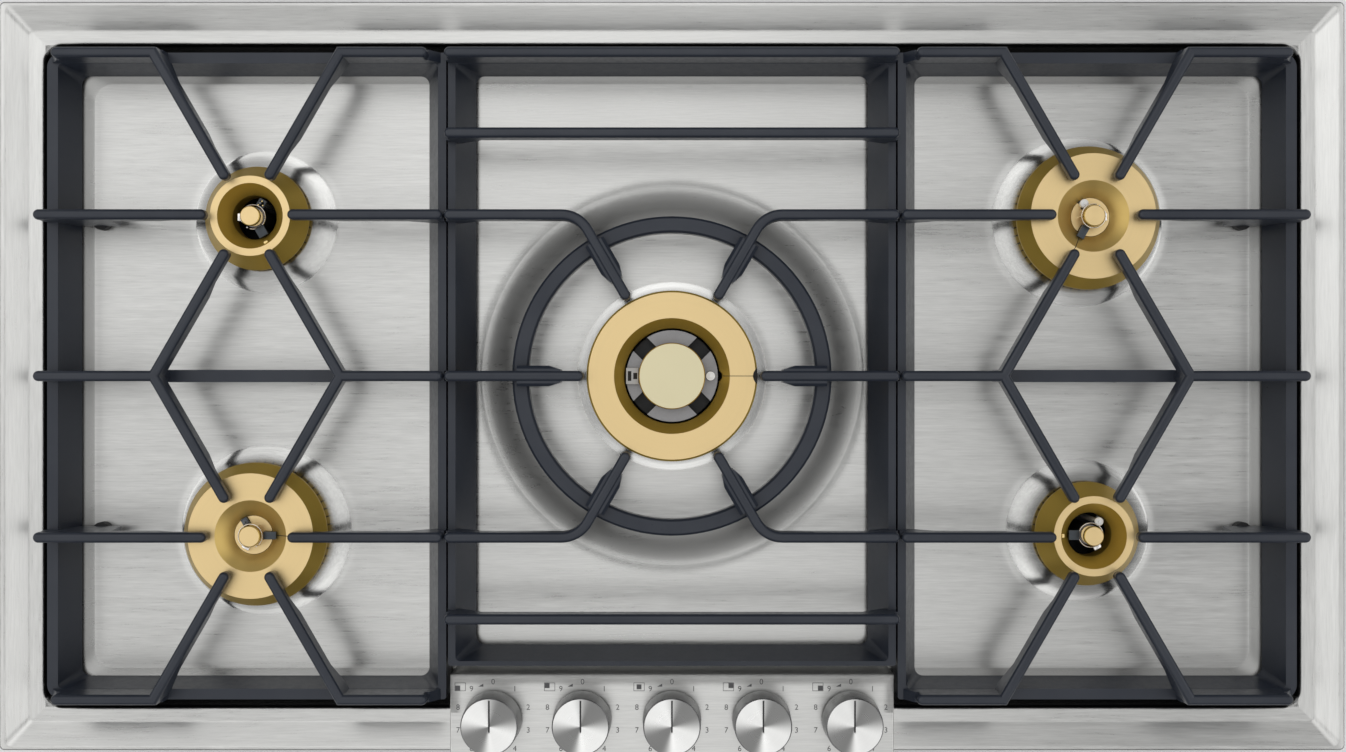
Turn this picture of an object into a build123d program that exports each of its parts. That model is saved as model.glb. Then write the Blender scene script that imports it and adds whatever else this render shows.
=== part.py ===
"""Built-in gas cooktop of the 90 cm class: steel tray, five brass burners, cast-iron pan supports, five taps.

Millimetres, +Z up, +X to the right as the cook sees it, +Y to the back. The origin is under the middle of
the object, on the underside of its casing. Heights in the values below are measured from the worktop, and
places from the middle of the tray, unless a comment says otherwise.
"""
import os
from math import cos, radians, sin, tan

from build123d import *

os.makedirs("parts", exist_ok=True)

# ---- overall sizes -------------------------------------------------------------------------------------
rim_width = 916.0
rim_depth = 509.6
panel_overhang = 10.4  # how far the control panel stands out in front of the rim
casing_height = 62.0  # worktop down to the casing's underside
sheet = 1.2  # stainless sheet of tray and panel
clear = 0.3  # gap between pieces that move apart
fit_gap = 0.05  # running gap of spindles, collars and knobs

# ---- tray ----------------------------------------------------------------------------------------------
rim_corner = 3.5
crest_height = 10.0
crest_land = (3.3, 2.1)  # flat top of the rim's outer edge: at the sides, at front and back
crest_corner = 5.0
slope_run = (13.5, 15.9)  # width of the sloping face: at the sides, at front and back
band_height = 2.5
band_corner = 4.0
band_land = (9.6, 8.8)  # flat band between slope and recess: at the sides, at front and back
recess_corner = 13.5
ledge_height = -6.5  # foot of the recess's upright wall
floor_height = -13.0
floor_inset = (29.3, 24.5)  # sloping strip between wall and floor: at the sides, at front and back
floor_corner = 13.0
bowl_radius = 132.0
bowl_floor_radius = 106.0
bowl_height = -20.0
valve_slot = (276.0, 32.0)  # opening under the control panel

# ---- burners -------------------------------------------------------------------------------------------
burner_x = 282.3
burner_y = 107.2
collar_height = 6.0
collar_spread = 7.0  # foot radius beyond top radius
cup_wall = 3.0
cup_flange = 5.0  # rim of a cup beyond its wall, under the collar
cup_depth = 44.0  # worktop down to the cups' undersides
skirt = (4.0, 0.4)  # burner ring's locating skirt in the mouth of its cup: depth and gap
boss_radius = 7.0  # gas inlet boss on each cup
boss_length = 12.0
post_bore = 3.4  # hole in the post for the cap's spigot
electrode_radius = 1.9
electrode_pin = (0.8, 3.0)  # metal tip: radius and length
sensor_block = (5.0, 4.2, 4.0)  # flame sensor's head: out from the axis, across, high
sensor_rod = 1.6
cap_lift = 60.0  # travel of a cap when it is lifted out

# ---- pan supports --------------------------------------------------------------------------------------
bar_width = 7.0
bar_top = 38.0
bar_low = 26.0  # underside of the bars
bar_crown = 2.6  # rounding along the top of the bars
finger_low = 31.0  # underside of the fingers over a burner
finger_start = 27.0  # from the burner's axis to a finger's tip
relief_radius = 50.0  # the fingers are thin out to here
relief_run = 12.0
wall_top = 18.0
wall_foot = -6.0
recess_gap = (9.4, 9.5)  # from the recess's wall in to a support: at the sides, at front and back
support_split = 1.3  # gap between two supports
tray_corner = 10.0
split_corner = 2.0
inner_corner = (3.0, 6.0)  # inside corners of the low wall, at its top and at its foot
tray_wall = (7.3, 14.0)  # wall beside the recess, thick at its top and at its foot
split_wall = (5.5, 15.3)  # wall beside the next support
rail_wall = (7.2, 11.2)  # front and back walls
rib_slope = (3.0, 10.0)  # where the high rib starts beyond the frame's corner, and its run up
bar_proud = 1.8  # bars stand proud of the wall beside the recess
cross_bar = (8.3, 16.0, 6.0)  # low bar between the two forks: width, top, underside
foot_radius = 6.0
foot_stem = (2.5, 5.0)  # radius and length of the stem in the casting
gusset_foot = (13.0, 41.0)  # foot under a burner bar: from and to, inward of the wall's outer face
foot_web_splay = 6.0  # how much further the web over a foot reaches under its bar
split_gusset = (8.0, 25.0)  # web at the other walls: below the wall's top, reach under its bar
weld = 1.0  # how far cast pieces run into each other
centre_half = 151.3  # outer face of the centre support's side walls
panel_gap = 5.7  # between the centre support and the control panel
centre_wall = (5.0, 15.9)
centre_front_wall = (3.2, 10.1)
straight_bar_y = 161.5
bend_radius = 20.0
wok_ring = (96.0, 107.0)  # inner and outer radius
wok_ring_height = (18.0, 28.0)
wok_finger_start = 58.7
lug_span = (74.0, 103.0)  # from the burner's axis
lug_width = (8.5, 13.8)  # at the inner and the outer end
lug_top = 36.5
lug_nose = 8.0  # length of a lug's tapered inner end
lug_bevel = 2.0
ring_bevel = 1.5
support_lift = 90.0  # travel of a support when it is lifted off

# ---- control panel and knobs ---------------------------------------------------------------------------
panel_width = 299.2
panel_depth = 63.6
panel_top = 20.0
panel_edge = 1.0
knob_pitch = 60.3
knob_inset = 23.6  # from the rim's front edge in to the knobs' axes
knob_count = 5
knob_radius = 19.0
knob_base_radius = 19.7
knob_edge = 0.8
knob_top = 43.0
knob_travel = 3.0  # how far a knob is pressed in
knob_gap = 0.8  # left under the knob when it is pressed
knob_dish = 0.4  # the spun face is a little hollow
mark_size = (1.2, 0.6)  # engraved line: width and depth
mark_past_centre = 4.4
mark_margin = 1.4
spindle_radius = 4.0
spindle_flat = 2.6  # axis to the flat
spindle_foot = -20.0
spindle_top = 38.0
collar_ring = (6.5, 2.0)  # thrust collar: radius and thickness
collar_seat = 4.0  # underside of the thrust collar
valve_neck = (9.0, -2.0)  # radius and top
valve_size = (22.0, 20.0)  # across, front to back
valve_body_top = -16.0
valve_outlet = (5.5, 7.0)  # radius and length of the outlet stub
gas_height = -32.0  # axis of the outlets, pipes and inlets
twin_offset = 6.0  # the centre tap's two outlets, either side of its axis

# ---- gas way and casing --------------------------------------------------------------------------------
rail_radius = 8.0
rail_height = -48.0
rail_overhang = 14.0
feed_bend = 30.0
pipe_radius = 4.0
pipe_bend = 16.0
near_turn = (-178.0, -148.0)  # where the front and the rear burners' pipes turn outward
rear_run_x = 190.0
rear_turn = 30.0
inlet_inset = (20.0, 48.0)  # from the casing's right and back walls in to the gas inlet's axis
inlet_boss = (10.0, 20.0)  # radius and reach of the side port
inlet_hex = 27.0  # across flats
inlet_thread = (9.3, 15.0)  # core radius and depth of a half-inch pipe thread
inlet_top = -36.0
inlet_flange = (20.0, 2.0)  # radius and thickness
box_sheet = 1.0
casing_inset = (22.0, 11.8)  # from the rim's edge in to the casing: at the sides, at front and back
box_corner = 3.0
box_lip = 12.0  # flange under the tray, front and back
vent_slot = (70.0, 6.0)
vent_rows = 4
vent_pitch = 60.0
seal_width = 8.0
clamp_y = 150.0
clamp_size = (16.0, 17.0, 26.0)  # reach, width, height
clamp_sheet = 2.0
clamp_foot = 10.0  # arm above the casing's underside
screw_radius = 2.0
screw_head = (4.0, 3.0)
screw_length = 18.0
screw_pad = (5.0, 2.0)
module_size = (80.0, 44.0, 26.0)
module_spot = (-95.0, 185.0)
module_pins = (3.0, 6.0, 12.0)  # radius, height and pitch of the spark outlets
housing_corner = 4.0
terminal_size = (60.0, 40.0, 26.0)
terminal_x = 150.0
lead_entry = (7.0, 13.0, 2.0)  # radius, height over the casing floor, wall of the bush

# ---- values that follow --------------------------------------------------------------------------------
tray_y = panel_overhang / 2
worktop_z = casing_height
crest_size = (rim_width - 2 * crest_land[0], rim_depth - 2 * crest_land[1])
band_size = (crest_size[0] - 2 * slope_run[0], crest_size[1] - 2 * slope_run[1])
recess_size = (band_size[0] - 2 * band_land[0], band_size[1] - 2 * band_land[1])
floor_size = (recess_size[0] - 2 * floor_inset[0], recess_size[1] - 2 * floor_inset[1])
panel_front = rim_depth / 2 + panel_overhang
panel_rear = panel_front - panel_depth
knob_y = knob_inset - rim_depth / 2
box_size = (rim_width - 2 * casing_inset[0], rim_depth - 2 * casing_inset[1])
feed_x = box_size[0] / 2 - inlet_inset[0]
inlet_y = box_size[1] / 2 - inlet_inset[1]
side_span = (recess_gap[0] - recess_size[0] / 2, -centre_half - support_split)  # of the left support
frame_depth = recess_size[1] / 2 - recess_gap[1]  # tray centre to the back of the supports
centre_front = panel_rear - panel_gap  # tray centre to the front of the centre support
box_floor = box_sheet - casing_height
lip_height = band_height - sheet  # underside of the tray's band
knob_bottom = panel_top + knob_travel + knob_gap
knob_places = [((i - (knob_count - 1) / 2) * knob_pitch, knob_y) for i in range(knob_count)]
outlet_end = knob_y + valve_size[1] / 2 + valve_outlet[1]
burner_spots = {
    "left_rear": (-burner_x, burner_y),
    "left_front": (-burner_x, -burner_y),
    "centre": (0.0, 0.0),
    "right_rear": (burner_x, burner_y),
    "right_front": (burner_x, -burner_y),
}
# where the flame sensor and the electrode stand round each cap
sensor_angle = {"left_rear": 300, "left_front": 0, "centre": 180, "right_rear": 240, "right_front": 180}
electrode_angle = {"left_rear": 60, "left_front": 120, "centre": 0, "right_rear": 120, "right_front": 60}


class Burner:
    """Radii and heights of one burner size. Outlines are (radius, height) points."""

    def __init__(self, collar, hole, cup, bore, crown, cap, post, reach, fittings):
        self.collar = collar  # flat top of the tray's collar
        self.hole = hole
        self.cup = cup
        self.bore = bore
        self.crown = crown  # ring's outline from the bore's top round to the flank's foot
        self.cap = cap  # cap's outline above its seat
        self.post = post  # radius and top
        self.reach = reach  # electrode and sensor from the axis
        self.fittings = fittings  # tops of electrode and sensor


large_burner = Burner(
    collar=52.0,
    hole=40.0,
    cup=36.0,
    bore=13.2,
    crown=[(13.2, 19.0), (24.0, 27.0), (42.0, 27.0), (48.5, 14.5), (48.5, 12.5), (46.0, collar_height)],
    cap=[(12.9, 15.0), (12.9, 19.0), (4.2, 19.0), (4.2, 26.5), (7.1, 27.0), (7.1, 29.6), (6.6, 30.0)],
    post=(5.6, 15.0),
    reach=10.2,
    fittings=(22.0, 23.5),
)
small_burner = Burner(
    collar=42.4,
    hole=30.0,
    cup=27.0,
    bore=15.0,
    crown=[(15.0, 17.0), (22.0, 28.0), (26.8, 28.0), (35.3, 11.0), (35.3, 9.5), (33.5, collar_height)],
    cap=[(6.0, 17.0), (6.0, 18.5), (3.4, 19.5), (3.4, 24.5), (6.6, 25.2), (6.6, 28.1), (6.1, 28.5)],
    post=(6.8, 17.0),
    reach=10.6,
    fittings=(20.0, 19.5),
)
centre_burner = Burner(
    collar=59.0,
    hole=47.0,
    cup=43.0,
    bore=32.4,
    crown=[(32.4, 17.0), (38.8, 27.0), (56.0, 27.0), (57.2, 25.8), (57.2, 13.0), (54.0, collar_height)],
    cap=[(12.0, 15.0), (12.0, 20.0), (22.3, 20.0), (22.3, 25.4), (21.7, 26.0)],
    post=(31.0, 15.0),
    reach=26.0,
    fittings=(21.0, 19.0),
)
burner_sizes = {
    "left_rear": small_burner,
    "left_front": large_burner,
    "centre": centre_burner,
    "right_rear": large_burner,
    "right_front": small_burner,
}
channel = (13.0, 10.0)  # four ways across the centre burner's base: width and depth
pocket = (4.3, 29.8)  # round the centre electrode in the ring: radius, distance from the axis


def level(height, spot=(0.0, 0.0)):
    """Horizontal plane at a height over the worktop, centred on the tray or on a spot of it."""
    return Plane((spot[0], tray_y + spot[1], worktop_z + height))


def upright(angle, spot=(0.0, 0.0)):
    """Upright plane through a spot: its x runs out at the angle, its y is the height over the worktop."""
    out = (cos(radians(angle)), sin(radians(angle)), 0)
    side = (sin(radians(angle)), -cos(radians(angle)), 0)
    return Plane((spot[0], tray_y + spot[1], worktop_z), x_dir=out, z_dir=side)


def polar(spot, angle, reach):
    """The point at a distance and an angle from a spot."""
    return (spot[0] + reach * cos(radians(angle)), spot[1] + reach * sin(radians(angle)))


def turned(profile, spot):
    """Solid of revolution from a closed outline of (radius, height) points."""
    with BuildPart() as body:
        with BuildSketch(upright(0, spot)):
            with BuildLine():
                Polyline(*profile, close=True)
            make_face()
        revolve(axis=Axis((spot[0], tray_y + spot[1], 0), (0, 0, 1)))
    return body.part


def disc(radius, low, high, spot=(0.0, 0.0)):
    """Upright cylinder between two heights over the worktop."""
    with BuildPart() as body:
        with BuildSketch(level(low, spot)):
            Circle(radius)
        extrude(amount=high - low)
    return body.part


def block(size_x, size_y, low, high, spot=(0.0, 0.0)):
    """Box between two heights over the worktop."""
    with BuildPart() as body:
        with BuildSketch(level(low, spot)):
            Rectangle(size_x, size_y)
        extrude(amount=high - low)
    return body.part


def plate(points, thickness, plane):
    """Upright plate from its outline on a plane, equally thick to both sides of it."""
    with BuildPart() as body:
        with BuildSketch(plane):
            with BuildLine():
                Polyline(*points, close=True)
            make_face()
        extrude(amount=thickness / 2, both=True)
    return body.part


def save(piece, label):
    """Label a finished piece and write it."""
    piece.part.label = label
    export_step(piece.part, f"parts/{label}.step")


# ======== tray ==========================================================================================
def rim_block(inset):
    """All that lies between the worktop and the rim's surface, drawn in by a wall."""
    with BuildPart() as solid:
        with BuildSketch(level(0)):
            RectangleRounded(rim_width - 2 * inset, rim_depth - 2 * inset, rim_corner - inset)
        extrude(amount=crest_height - inset)
        with BuildSketch(level(crest_height - inset)):
            RectangleRounded(*crest_size, crest_corner)
        with BuildSketch(level(band_height - inset)):
            RectangleRounded(*band_size, band_corner)
        loft(mode=Mode.SUBTRACT)
    return solid.part


def recess_block(wall, rise):
    """The recess as a solid, grown by a wall: upright side, sloping strip, floor and wok bowl."""
    with BuildPart() as solid:
        with BuildSketch(level(rise)):
            RectangleRounded(recess_size[0] + 2 * wall, recess_size[1] + 2 * wall, recess_corner + wall)
        extrude(amount=ledge_height - wall - rise)
        with BuildSketch(level(ledge_height - wall)):
            RectangleRounded(recess_size[0] + 2 * wall, recess_size[1] + 2 * wall, recess_corner + wall)
        with BuildSketch(level(floor_height - wall)):
            RectangleRounded(*floor_size, floor_corner)
        loft()
        with BuildSketch(level(floor_height - wall)):
            Circle(bowl_radius + wall)
        with BuildSketch(level(bowl_height - wall)):
            Circle(bowl_floor_radius + wall)
        loft()
    return solid.part


def collar_profile(burner, base):
    """Pressed collar round a burner's hole: a thin wall from the tray's floor up to the hole's edge."""
    foot = burner.collar + collar_spread
    shoulder = (burner.collar + 0.35 * collar_spread, collar_height - 0.3 * (collar_height - base))
    return [
        (burner.hole, collar_height),
        (burner.collar, collar_height),
        shoulder,
        (foot, base),
        (foot, base - sheet),
        (foot - 1.5 * sheet, base - sheet),
        (shoulder[0] - 1.2 * sheet, shoulder[1] - 0.4 * sheet),
        (burner.collar - 0.4 * sheet, collar_height - sheet),
        (burner.hole, collar_height - sheet),
    ]


with BuildPart() as hob_tray:
    add(rim_block(0))
    add(rim_block(sheet), mode=Mode.SUBTRACT)
    add(recess_block(sheet, band_height))
    add(recess_block(0, crest_height), mode=Mode.SUBTRACT)
    for name, spot in burner_spots.items():
        foot = burner_sizes[name].collar + collar_spread - sheet
        add(disc(foot, bowl_height - 2 * sheet, collar_height, spot), mode=Mode.SUBTRACT)
    for name, spot in burner_spots.items():
        base = bowl_height if name == "centre" else floor_height
        add(turned(collar_profile(burner_sizes[name], base), spot))
    add(block(*valve_slot, -casing_height, casing_height, (0, knob_y)), mode=Mode.SUBTRACT)
save(hob_tray, "hob_tray")

# ======== control panel =================================================================================
panel_middle = (0, -(panel_rear + panel_front) / 2)
tray_section = [  # the tray's surface under the panel, from the panel's rear face to the worktop in front
    (-panel_rear, floor_height),
    (-floor_size[1] / 2, floor_height),
    (-recess_size[1] / 2, ledge_height),
    (-recess_size[1] / 2, band_height),
    (-band_size[1] / 2, band_height),
    (-crest_size[1] / 2, crest_height),
    (-rim_depth / 2, crest_height),
    (-rim_depth / 2, clear),
    (-panel_front, clear),
]
with BuildPart() as control_panel:
    add(plate([*tray_section, (-panel_front, panel_top), (-panel_rear, panel_top)], panel_width, upright(90)))
    fillet(control_panel.faces().sort_by(Axis.Z)[-1].edges(), radius=panel_edge)
    inner_depth = panel_front - panel_rear - 2 * sheet
    add(
        block(panel_width - 2 * sheet, inner_depth, -casing_height, panel_top - sheet, panel_middle),
        mode=Mode.SUBTRACT,
    )
    for place in knob_places:
        add(disc(collar_ring[0] + clear, 0, panel_top, place), mode=Mode.SUBTRACT)
save(control_panel, "control_panel")

# ======== casing, seal and clamps =======================================================================
with BuildPart() as burner_box:
    with BuildSketch(level(-casing_height)):
        RectangleRounded(*box_size, box_corner)
    extrude(amount=casing_height + lip_height)
    with BuildSketch(level(box_floor)):
        RectangleRounded(box_size[0] - 2 * box_sheet, box_size[1] - 2 * box_sheet, box_corner - box_sheet)
    extrude(amount=lip_height - box_sheet - box_floor, mode=Mode.SUBTRACT)
    add(block(box_size[0] - 2 * box_sheet, box_size[1] - 2 * box_lip, 0, casing_height), mode=Mode.SUBTRACT)
    add(block(valve_slot[0], box_lip, 0, casing_height, (0, box_sheet - box_size[1] / 2 + box_lip / 2)),
        mode=Mode.SUBTRACT)
    add(disc(inlet_hex / 2 / cos(radians(30)) + clear, -casing_height, box_floor, (feed_x, inlet_y)),
        mode=Mode.SUBTRACT)
    with BuildSketch(level(-casing_height)):
        with GridLocations(2 * burner_x, vent_pitch, 2, vent_rows):
            SlotOverall(*vent_slot)
    extrude(amount=box_sheet, mode=Mode.SUBTRACT)
    rear_wall = Plane((terminal_x, tray_y + box_size[1] / 2, worktop_z + box_floor + lead_entry[1]),
                      x_dir=(1, 0, 0), z_dir=(0, 1, 0))
    with BuildSketch(rear_wall):
        Circle(lead_entry[0])
    extrude(amount=-box_sheet, mode=Mode.SUBTRACT)
save(burner_box, "burner_box")

with BuildPart() as worktop_seal:
    with BuildSketch(level(0)):
        RectangleRounded(box_size[0] + 2 * seal_width, box_size[1] + 2 * seal_width, box_corner + seal_width)
        RectangleRounded(*box_size, box_corner, mode=Mode.SUBTRACT)
    extrude(amount=lip_height)
save(worktop_seal, "worktop_seal")

reach, clamp_width, clamp_rise = clamp_size
arm_height = clamp_foot - casing_height
clamp_outline = [
    (0, arm_height),
    (reach, arm_height),
    (reach, arm_height + clamp_sheet),
    (clamp_sheet, arm_height + clamp_sheet),
    (clamp_sheet, arm_height + clamp_rise),
    (0, arm_height + clamp_rise),
]
clamp_bolts = []
with BuildPart() as worktop_clamps:
    for side in (0, 180):
        for row in (-clamp_y, clamp_y):
            edge = polar((0, row), side, box_size[0] / 2)
            bolt = polar(edge, side, 0.6 * reach)
            add(plate(clamp_outline, clamp_width, upright(side, edge)))
            add(disc(screw_radius, arm_height, arm_height + clamp_sheet, bolt), mode=Mode.SUBTRACT)
            clamp_bolts.append(bolt)
save(worktop_clamps, "worktop_clamps")

with BuildPart() as clamp_screws:
    for bolt in clamp_bolts:
        with BuildSketch(level(arm_height - screw_head[1], bolt)):
            RegularPolygon(screw_head[0], 6)
        extrude(amount=screw_head[1])
        add(disc(screw_radius, arm_height, arm_height + screw_length, bolt))
        add(disc(screw_pad[0], arm_height + screw_length, arm_height + screw_length + screw_pad[1], bolt))
save(clamp_screws, "clamp_screws")


# ======== gas way =======================================================================================
def tube(points, radius, bend):
    """Bent tube along straight level runs of (x, y) points, all at one height, joined by equal bends."""
    route_points = [(x, tray_y + y, worktop_z + height) for x, y, height in points]
    with BuildPart() as body:
        with BuildLine() as route:
            if len(points) > 2:
                FilletPolyline(*route_points, radius=bend)
            else:
                Line(*route_points)
        with BuildSketch(Plane(origin=route.line @ 0, z_dir=route.line % 0)):
            Circle(radius)
        sweep()
    return body.part


with BuildPart() as gas_rail:
    rail_points = [
        (knob_places[0][0] - rail_overhang, knob_y, rail_height),
        (feed_x, knob_y, rail_height),
        (feed_x, inlet_y - inlet_boss[1], rail_height),
    ]
    add(tube(rail_points, rail_radius, feed_bend))
    for i in (0, knob_count - 2):
        middle = (knob_places[i][0] + knob_pitch / 2, knob_y)
        add(block(2 * rail_radius, 2 * rail_radius, box_floor, rail_height, middle))
save(gas_rail, "gas_rail")

with BuildPart() as gas_inlet:
    with BuildSketch(level(-casing_height, (feed_x, inlet_y))):
        RegularPolygon(inlet_hex / 2, 6, major_radius=False)
    extrude(amount=casing_height + inlet_top)
    add(disc(inlet_flange[0] - 1, box_floor, box_floor + inlet_flange[1], (feed_x, inlet_y)))
    port = Plane((feed_x, tray_y + inlet_y, worktop_z + rail_height), x_dir=(1, 0, 0), z_dir=(0, -1, 0))
    with BuildSketch(port):
        Circle(inlet_boss[0])
    extrude(amount=inlet_boss[1])
    add(disc(inlet_thread[0], -casing_height, inlet_thread[1] - casing_height, (feed_x, inlet_y)),
        mode=Mode.SUBTRACT)
save(gas_inlet, "gas_inlet")

for i, place in enumerate(knob_places):
    offsets = (-twin_offset, twin_offset) if i == knob_count // 2 else (0,)
    with BuildPart() as gas_valve:
        add(block(*valve_size, rail_height, valve_body_top, place))
        add(disc(valve_neck[0], valve_body_top, valve_neck[1], place))
        for offset in offsets:
            outlet = Plane((place[0] + offset, tray_y + knob_y, worktop_z + gas_height),
                           x_dir=(1, 0, 0), z_dir=(0, 1, 0))
            with BuildSketch(outlet):
                Circle(valve_outlet[0])
            extrude(amount=outlet_end - knob_y)
        saddle = Plane((place[0], tray_y + knob_y, worktop_z + rail_height), x_dir=(0, 1, 0), z_dir=(1, 0, 0))
        with BuildSketch(saddle):
            Circle(rail_radius)
        extrude(amount=valve_size[0], both=True, mode=Mode.SUBTRACT)
        bore_foot = spindle_foot - knob_travel - clear
        add(disc(spindle_radius + fit_gap, bore_foot, valve_neck[1], place), mode=Mode.SUBTRACT)
    save(gas_valve, f"gas_valve_{i + 1}")


def cup_port(name):
    """Where a burner's gas inlet boss ends: straight in front of its cup."""
    x, y = burner_spots[name]
    return (x, y - burner_sizes[name].cup - boss_length)


for side, rear_knob, front_knob in ((-1, 1, 0), (1, knob_count - 2, knob_count - 1)):
    hand = "left" if side < 0 else "right"
    start_x = knob_places[front_knob][0]
    end = cup_port(f"{hand}_front")
    corners = [(start_x, outlet_end), (start_x, near_turn[0]), (end[0], near_turn[0]), end]
    with BuildPart() as pipe:
        add(tube([(x, y, gas_height) for x, y in corners], pipe_radius, pipe_bend))
    save(pipe, f"pipe_{hand}_front")
    start_x = knob_places[rear_knob][0]
    run_x = side * rear_run_x
    end = cup_port(f"{hand}_rear")
    corners = [(start_x, outlet_end), (start_x, near_turn[1]), (run_x, near_turn[1])]
    corners += [(run_x, rear_turn), (end[0], rear_turn), end]
    with BuildPart() as pipe:
        add(tube([(x, y, gas_height) for x, y in corners], pipe_radius, pipe_bend))
    save(pipe, f"pipe_{hand}_rear")

for offset, ring_name in ((-twin_offset, "inner"), (twin_offset, "outer")):
    with BuildPart() as pipe:
        ends = [(offset, outlet_end, gas_height), (offset, cup_port("centre")[1], gas_height)]
        add(tube(ends, pipe_radius, pipe_bend))
    save(pipe, f"pipe_centre_{ring_name}")


# ======== burners =======================================================================================
def fitting_slots(name, wall):
    """Upright cutters round the electrode and the sensor, open to the outside of what they cut."""
    spot = burner_spots[name]
    burner = burner_sizes[name]
    with BuildPart() as cutters:
        for angle, half in (
            (electrode_angle[name], electrode_radius),
            (sensor_angle[name], sensor_block[1] / 2),
        ):
            inner = burner.reach - sensor_block[0] / 2 - wall
            outline = [(inner, -casing_height), (2 * burner.reach, -casing_height)]
            outline += [(2 * burner.reach, casing_height), (inner, casing_height)]
            add(plate(outline, 2 * (half + wall), upright(angle, spot)))
    return cutters.part


for name, spot in burner_spots.items():
    burner = burner_sizes[name]
    floor = cup_wall - cup_depth
    flange_top = collar_height - sheet
    skirt_radius = burner.cup - cup_wall - skirt[1]
    skirt_foot = collar_height - skirt[0]

    with BuildPart() as burner_cup:
        outline = [
            (0, -cup_depth),
            (burner.cup, -cup_depth),
            (burner.cup, flange_top - cup_wall),
            (burner.hole + cup_flange, flange_top - cup_wall),
            (burner.hole + cup_flange, flange_top),
            (burner.cup - cup_wall, flange_top),
            (burner.cup - cup_wall, floor),
            (burner.post[0], floor),
            (burner.post[0], burner.post[1]),
            (0, burner.post[1]),
        ]
        if name == "centre":
            hub = burner.post[0] / 2
            base_low = burner.post[1] - channel[1] - cup_wall
            outline[7:9] = [(hub, floor), (hub, base_low), (burner.post[0], base_low), burner.post]
        add(turned(outline, spot))
        port_width = 2 * (boss_radius + (twin_offset if name == "centre" else 0))
        port_length = boss_length + cup_wall / 2
        port_spot = (spot[0], cup_port(name)[1] + port_length / 2)
        add(block(port_width, port_length, gas_height - boss_radius, gas_height + boss_radius, port_spot))
        if name == "centre":
            for turn in (45, 135):
                depth = burner.post[1] - channel[1]
                outline = [(-burner.post[0], depth), (burner.post[0], depth)]
                outline += [(burner.post[0], casing_height), (-burner.post[0], casing_height)]
                add(plate(outline, channel[0], upright(turn, spot)), mode=Mode.SUBTRACT)
            hole = polar(spot, electrode_angle[name], burner.reach)
            add(disc(1.6 * electrode_radius + clear, base_low, burner.post[1], hole), mode=Mode.SUBTRACT)
            hole = polar(spot, sensor_angle[name], burner.reach)
            add(disc(sensor_rod + clear, base_low, burner.post[1], hole), mode=Mode.SUBTRACT)
        add(disc(post_bore, 0, burner.post[1], spot), mode=Mode.SUBTRACT)
    save(burner_cup, f"burner_cup_{name}")

    with BuildPart() as burner_ring:
        seat = [(skirt_radius, collar_height), (skirt_radius, skirt_foot), (burner.bore, skirt_foot)]
        add(turned([*burner.crown, *seat], spot))
        if name == "centre":
            add(disc(pocket[0], skirt_foot, burner.crown[1][1], polar(spot, electrode_angle[name], pocket[1])),
                mode=Mode.SUBTRACT)
    save(burner_ring, f"burner_ring_{name}")

    with BuildPart() as burner_cap:
        seat = burner.cap[0][1]
        outline = [(0, seat + clear), (burner.cap[0][0], seat + clear), *burner.cap[1:], (0, burner.cap[-1][1])]
        add(turned(outline, spot))
        add(disc(post_bore - clear, seat / 2, seat + 2 * clear, spot))
        if burner is large_burner:
            add(fitting_slots(name, 2 * clear), mode=Mode.SUBTRACT)
    save(burner_cap, f"burner_cap_{name}")

with BuildPart() as spark_electrodes:
    for name, spot in burner_spots.items():
        burner = burner_sizes[name]
        foot = polar(spot, electrode_angle[name], burner.reach)
        thick = 1.6 if name == "centre" else 1.0
        top = burner.fittings[0]
        add(disc(thick * electrode_radius, cup_wall - cup_depth, top, foot))
        add(disc(electrode_pin[0], top, top + electrode_pin[1], foot))
save(spark_electrodes, "spark_electrodes")

with BuildPart() as flame_sensors:
    for name, spot in burner_spots.items():
        burner = burner_sizes[name]
        angle = sensor_angle[name]
        top = burner.fittings[1]
        foot = polar(spot, angle, burner.reach)
        add(disc(sensor_rod, cup_wall - cup_depth, top - sensor_block[2], foot))
        half = sensor_block[0] / 2
        head = [(-half, top - sensor_block[2]), (half, top - sensor_block[2]), (half, top), (-half, top)]
        add(plate(head, sensor_block[1], upright(angle, foot)))
save(flame_sensors, "flame_sensors")

with BuildPart() as ignition_module:
    module_top = box_floor + module_size[2]
    add(block(module_size[0], module_size[1], box_floor, module_top, module_spot))
    fillet(ignition_module.edges().filter_by(Axis.Z), radius=housing_corner)
    for i in range(len(burner_spots)):
        pin = (module_spot[0] + (i - 2) * module_pins[2], module_spot[1])
        add(disc(module_pins[0], module_top, module_top + module_pins[1], pin))
save(ignition_module, "ignition_module")

with BuildPart() as terminal_box:
    terminal_spot = (terminal_x, box_size[1] / 2 - box_sheet - terminal_size[1] / 2)
    add(block(terminal_size[0], terminal_size[1], box_floor, box_floor + terminal_size[2], terminal_spot))
    fillet(terminal_box.edges().filter_by(Axis.Z), radius=housing_corner)
    with BuildSketch(rear_wall):
        Circle(lead_entry[0])
    extrude(amount=-2 * box_sheet)
    with BuildSketch(rear_wall):
        Circle(lead_entry[0] - lead_entry[2])
    extrude(amount=-4 * box_sheet, mode=Mode.SUBTRACT)
save(terminal_box, "terminal_box")


# ======== pan supports ==================================================================================
def bar(points, bend=0.0):
    """Cast bar along (x, y) points: round ends, one width, its top edges rounded over."""
    with BuildPart() as casting:
        with BuildSketch(level(bar_low)):
            with BuildLine():
                if bend:
                    FilletPolyline(*points, radius=bend)
                else:
                    Polyline(*points)
            trace(line_width=bar_width)
            with Locations(points[0], points[-1]):
                Circle(bar_width / 2)
        extrude(amount=bar_top - bar_low)
        fillet(casting.faces().sort_by(Axis.Z)[-1].edges(), radius=bar_crown)
    return casting.part


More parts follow.
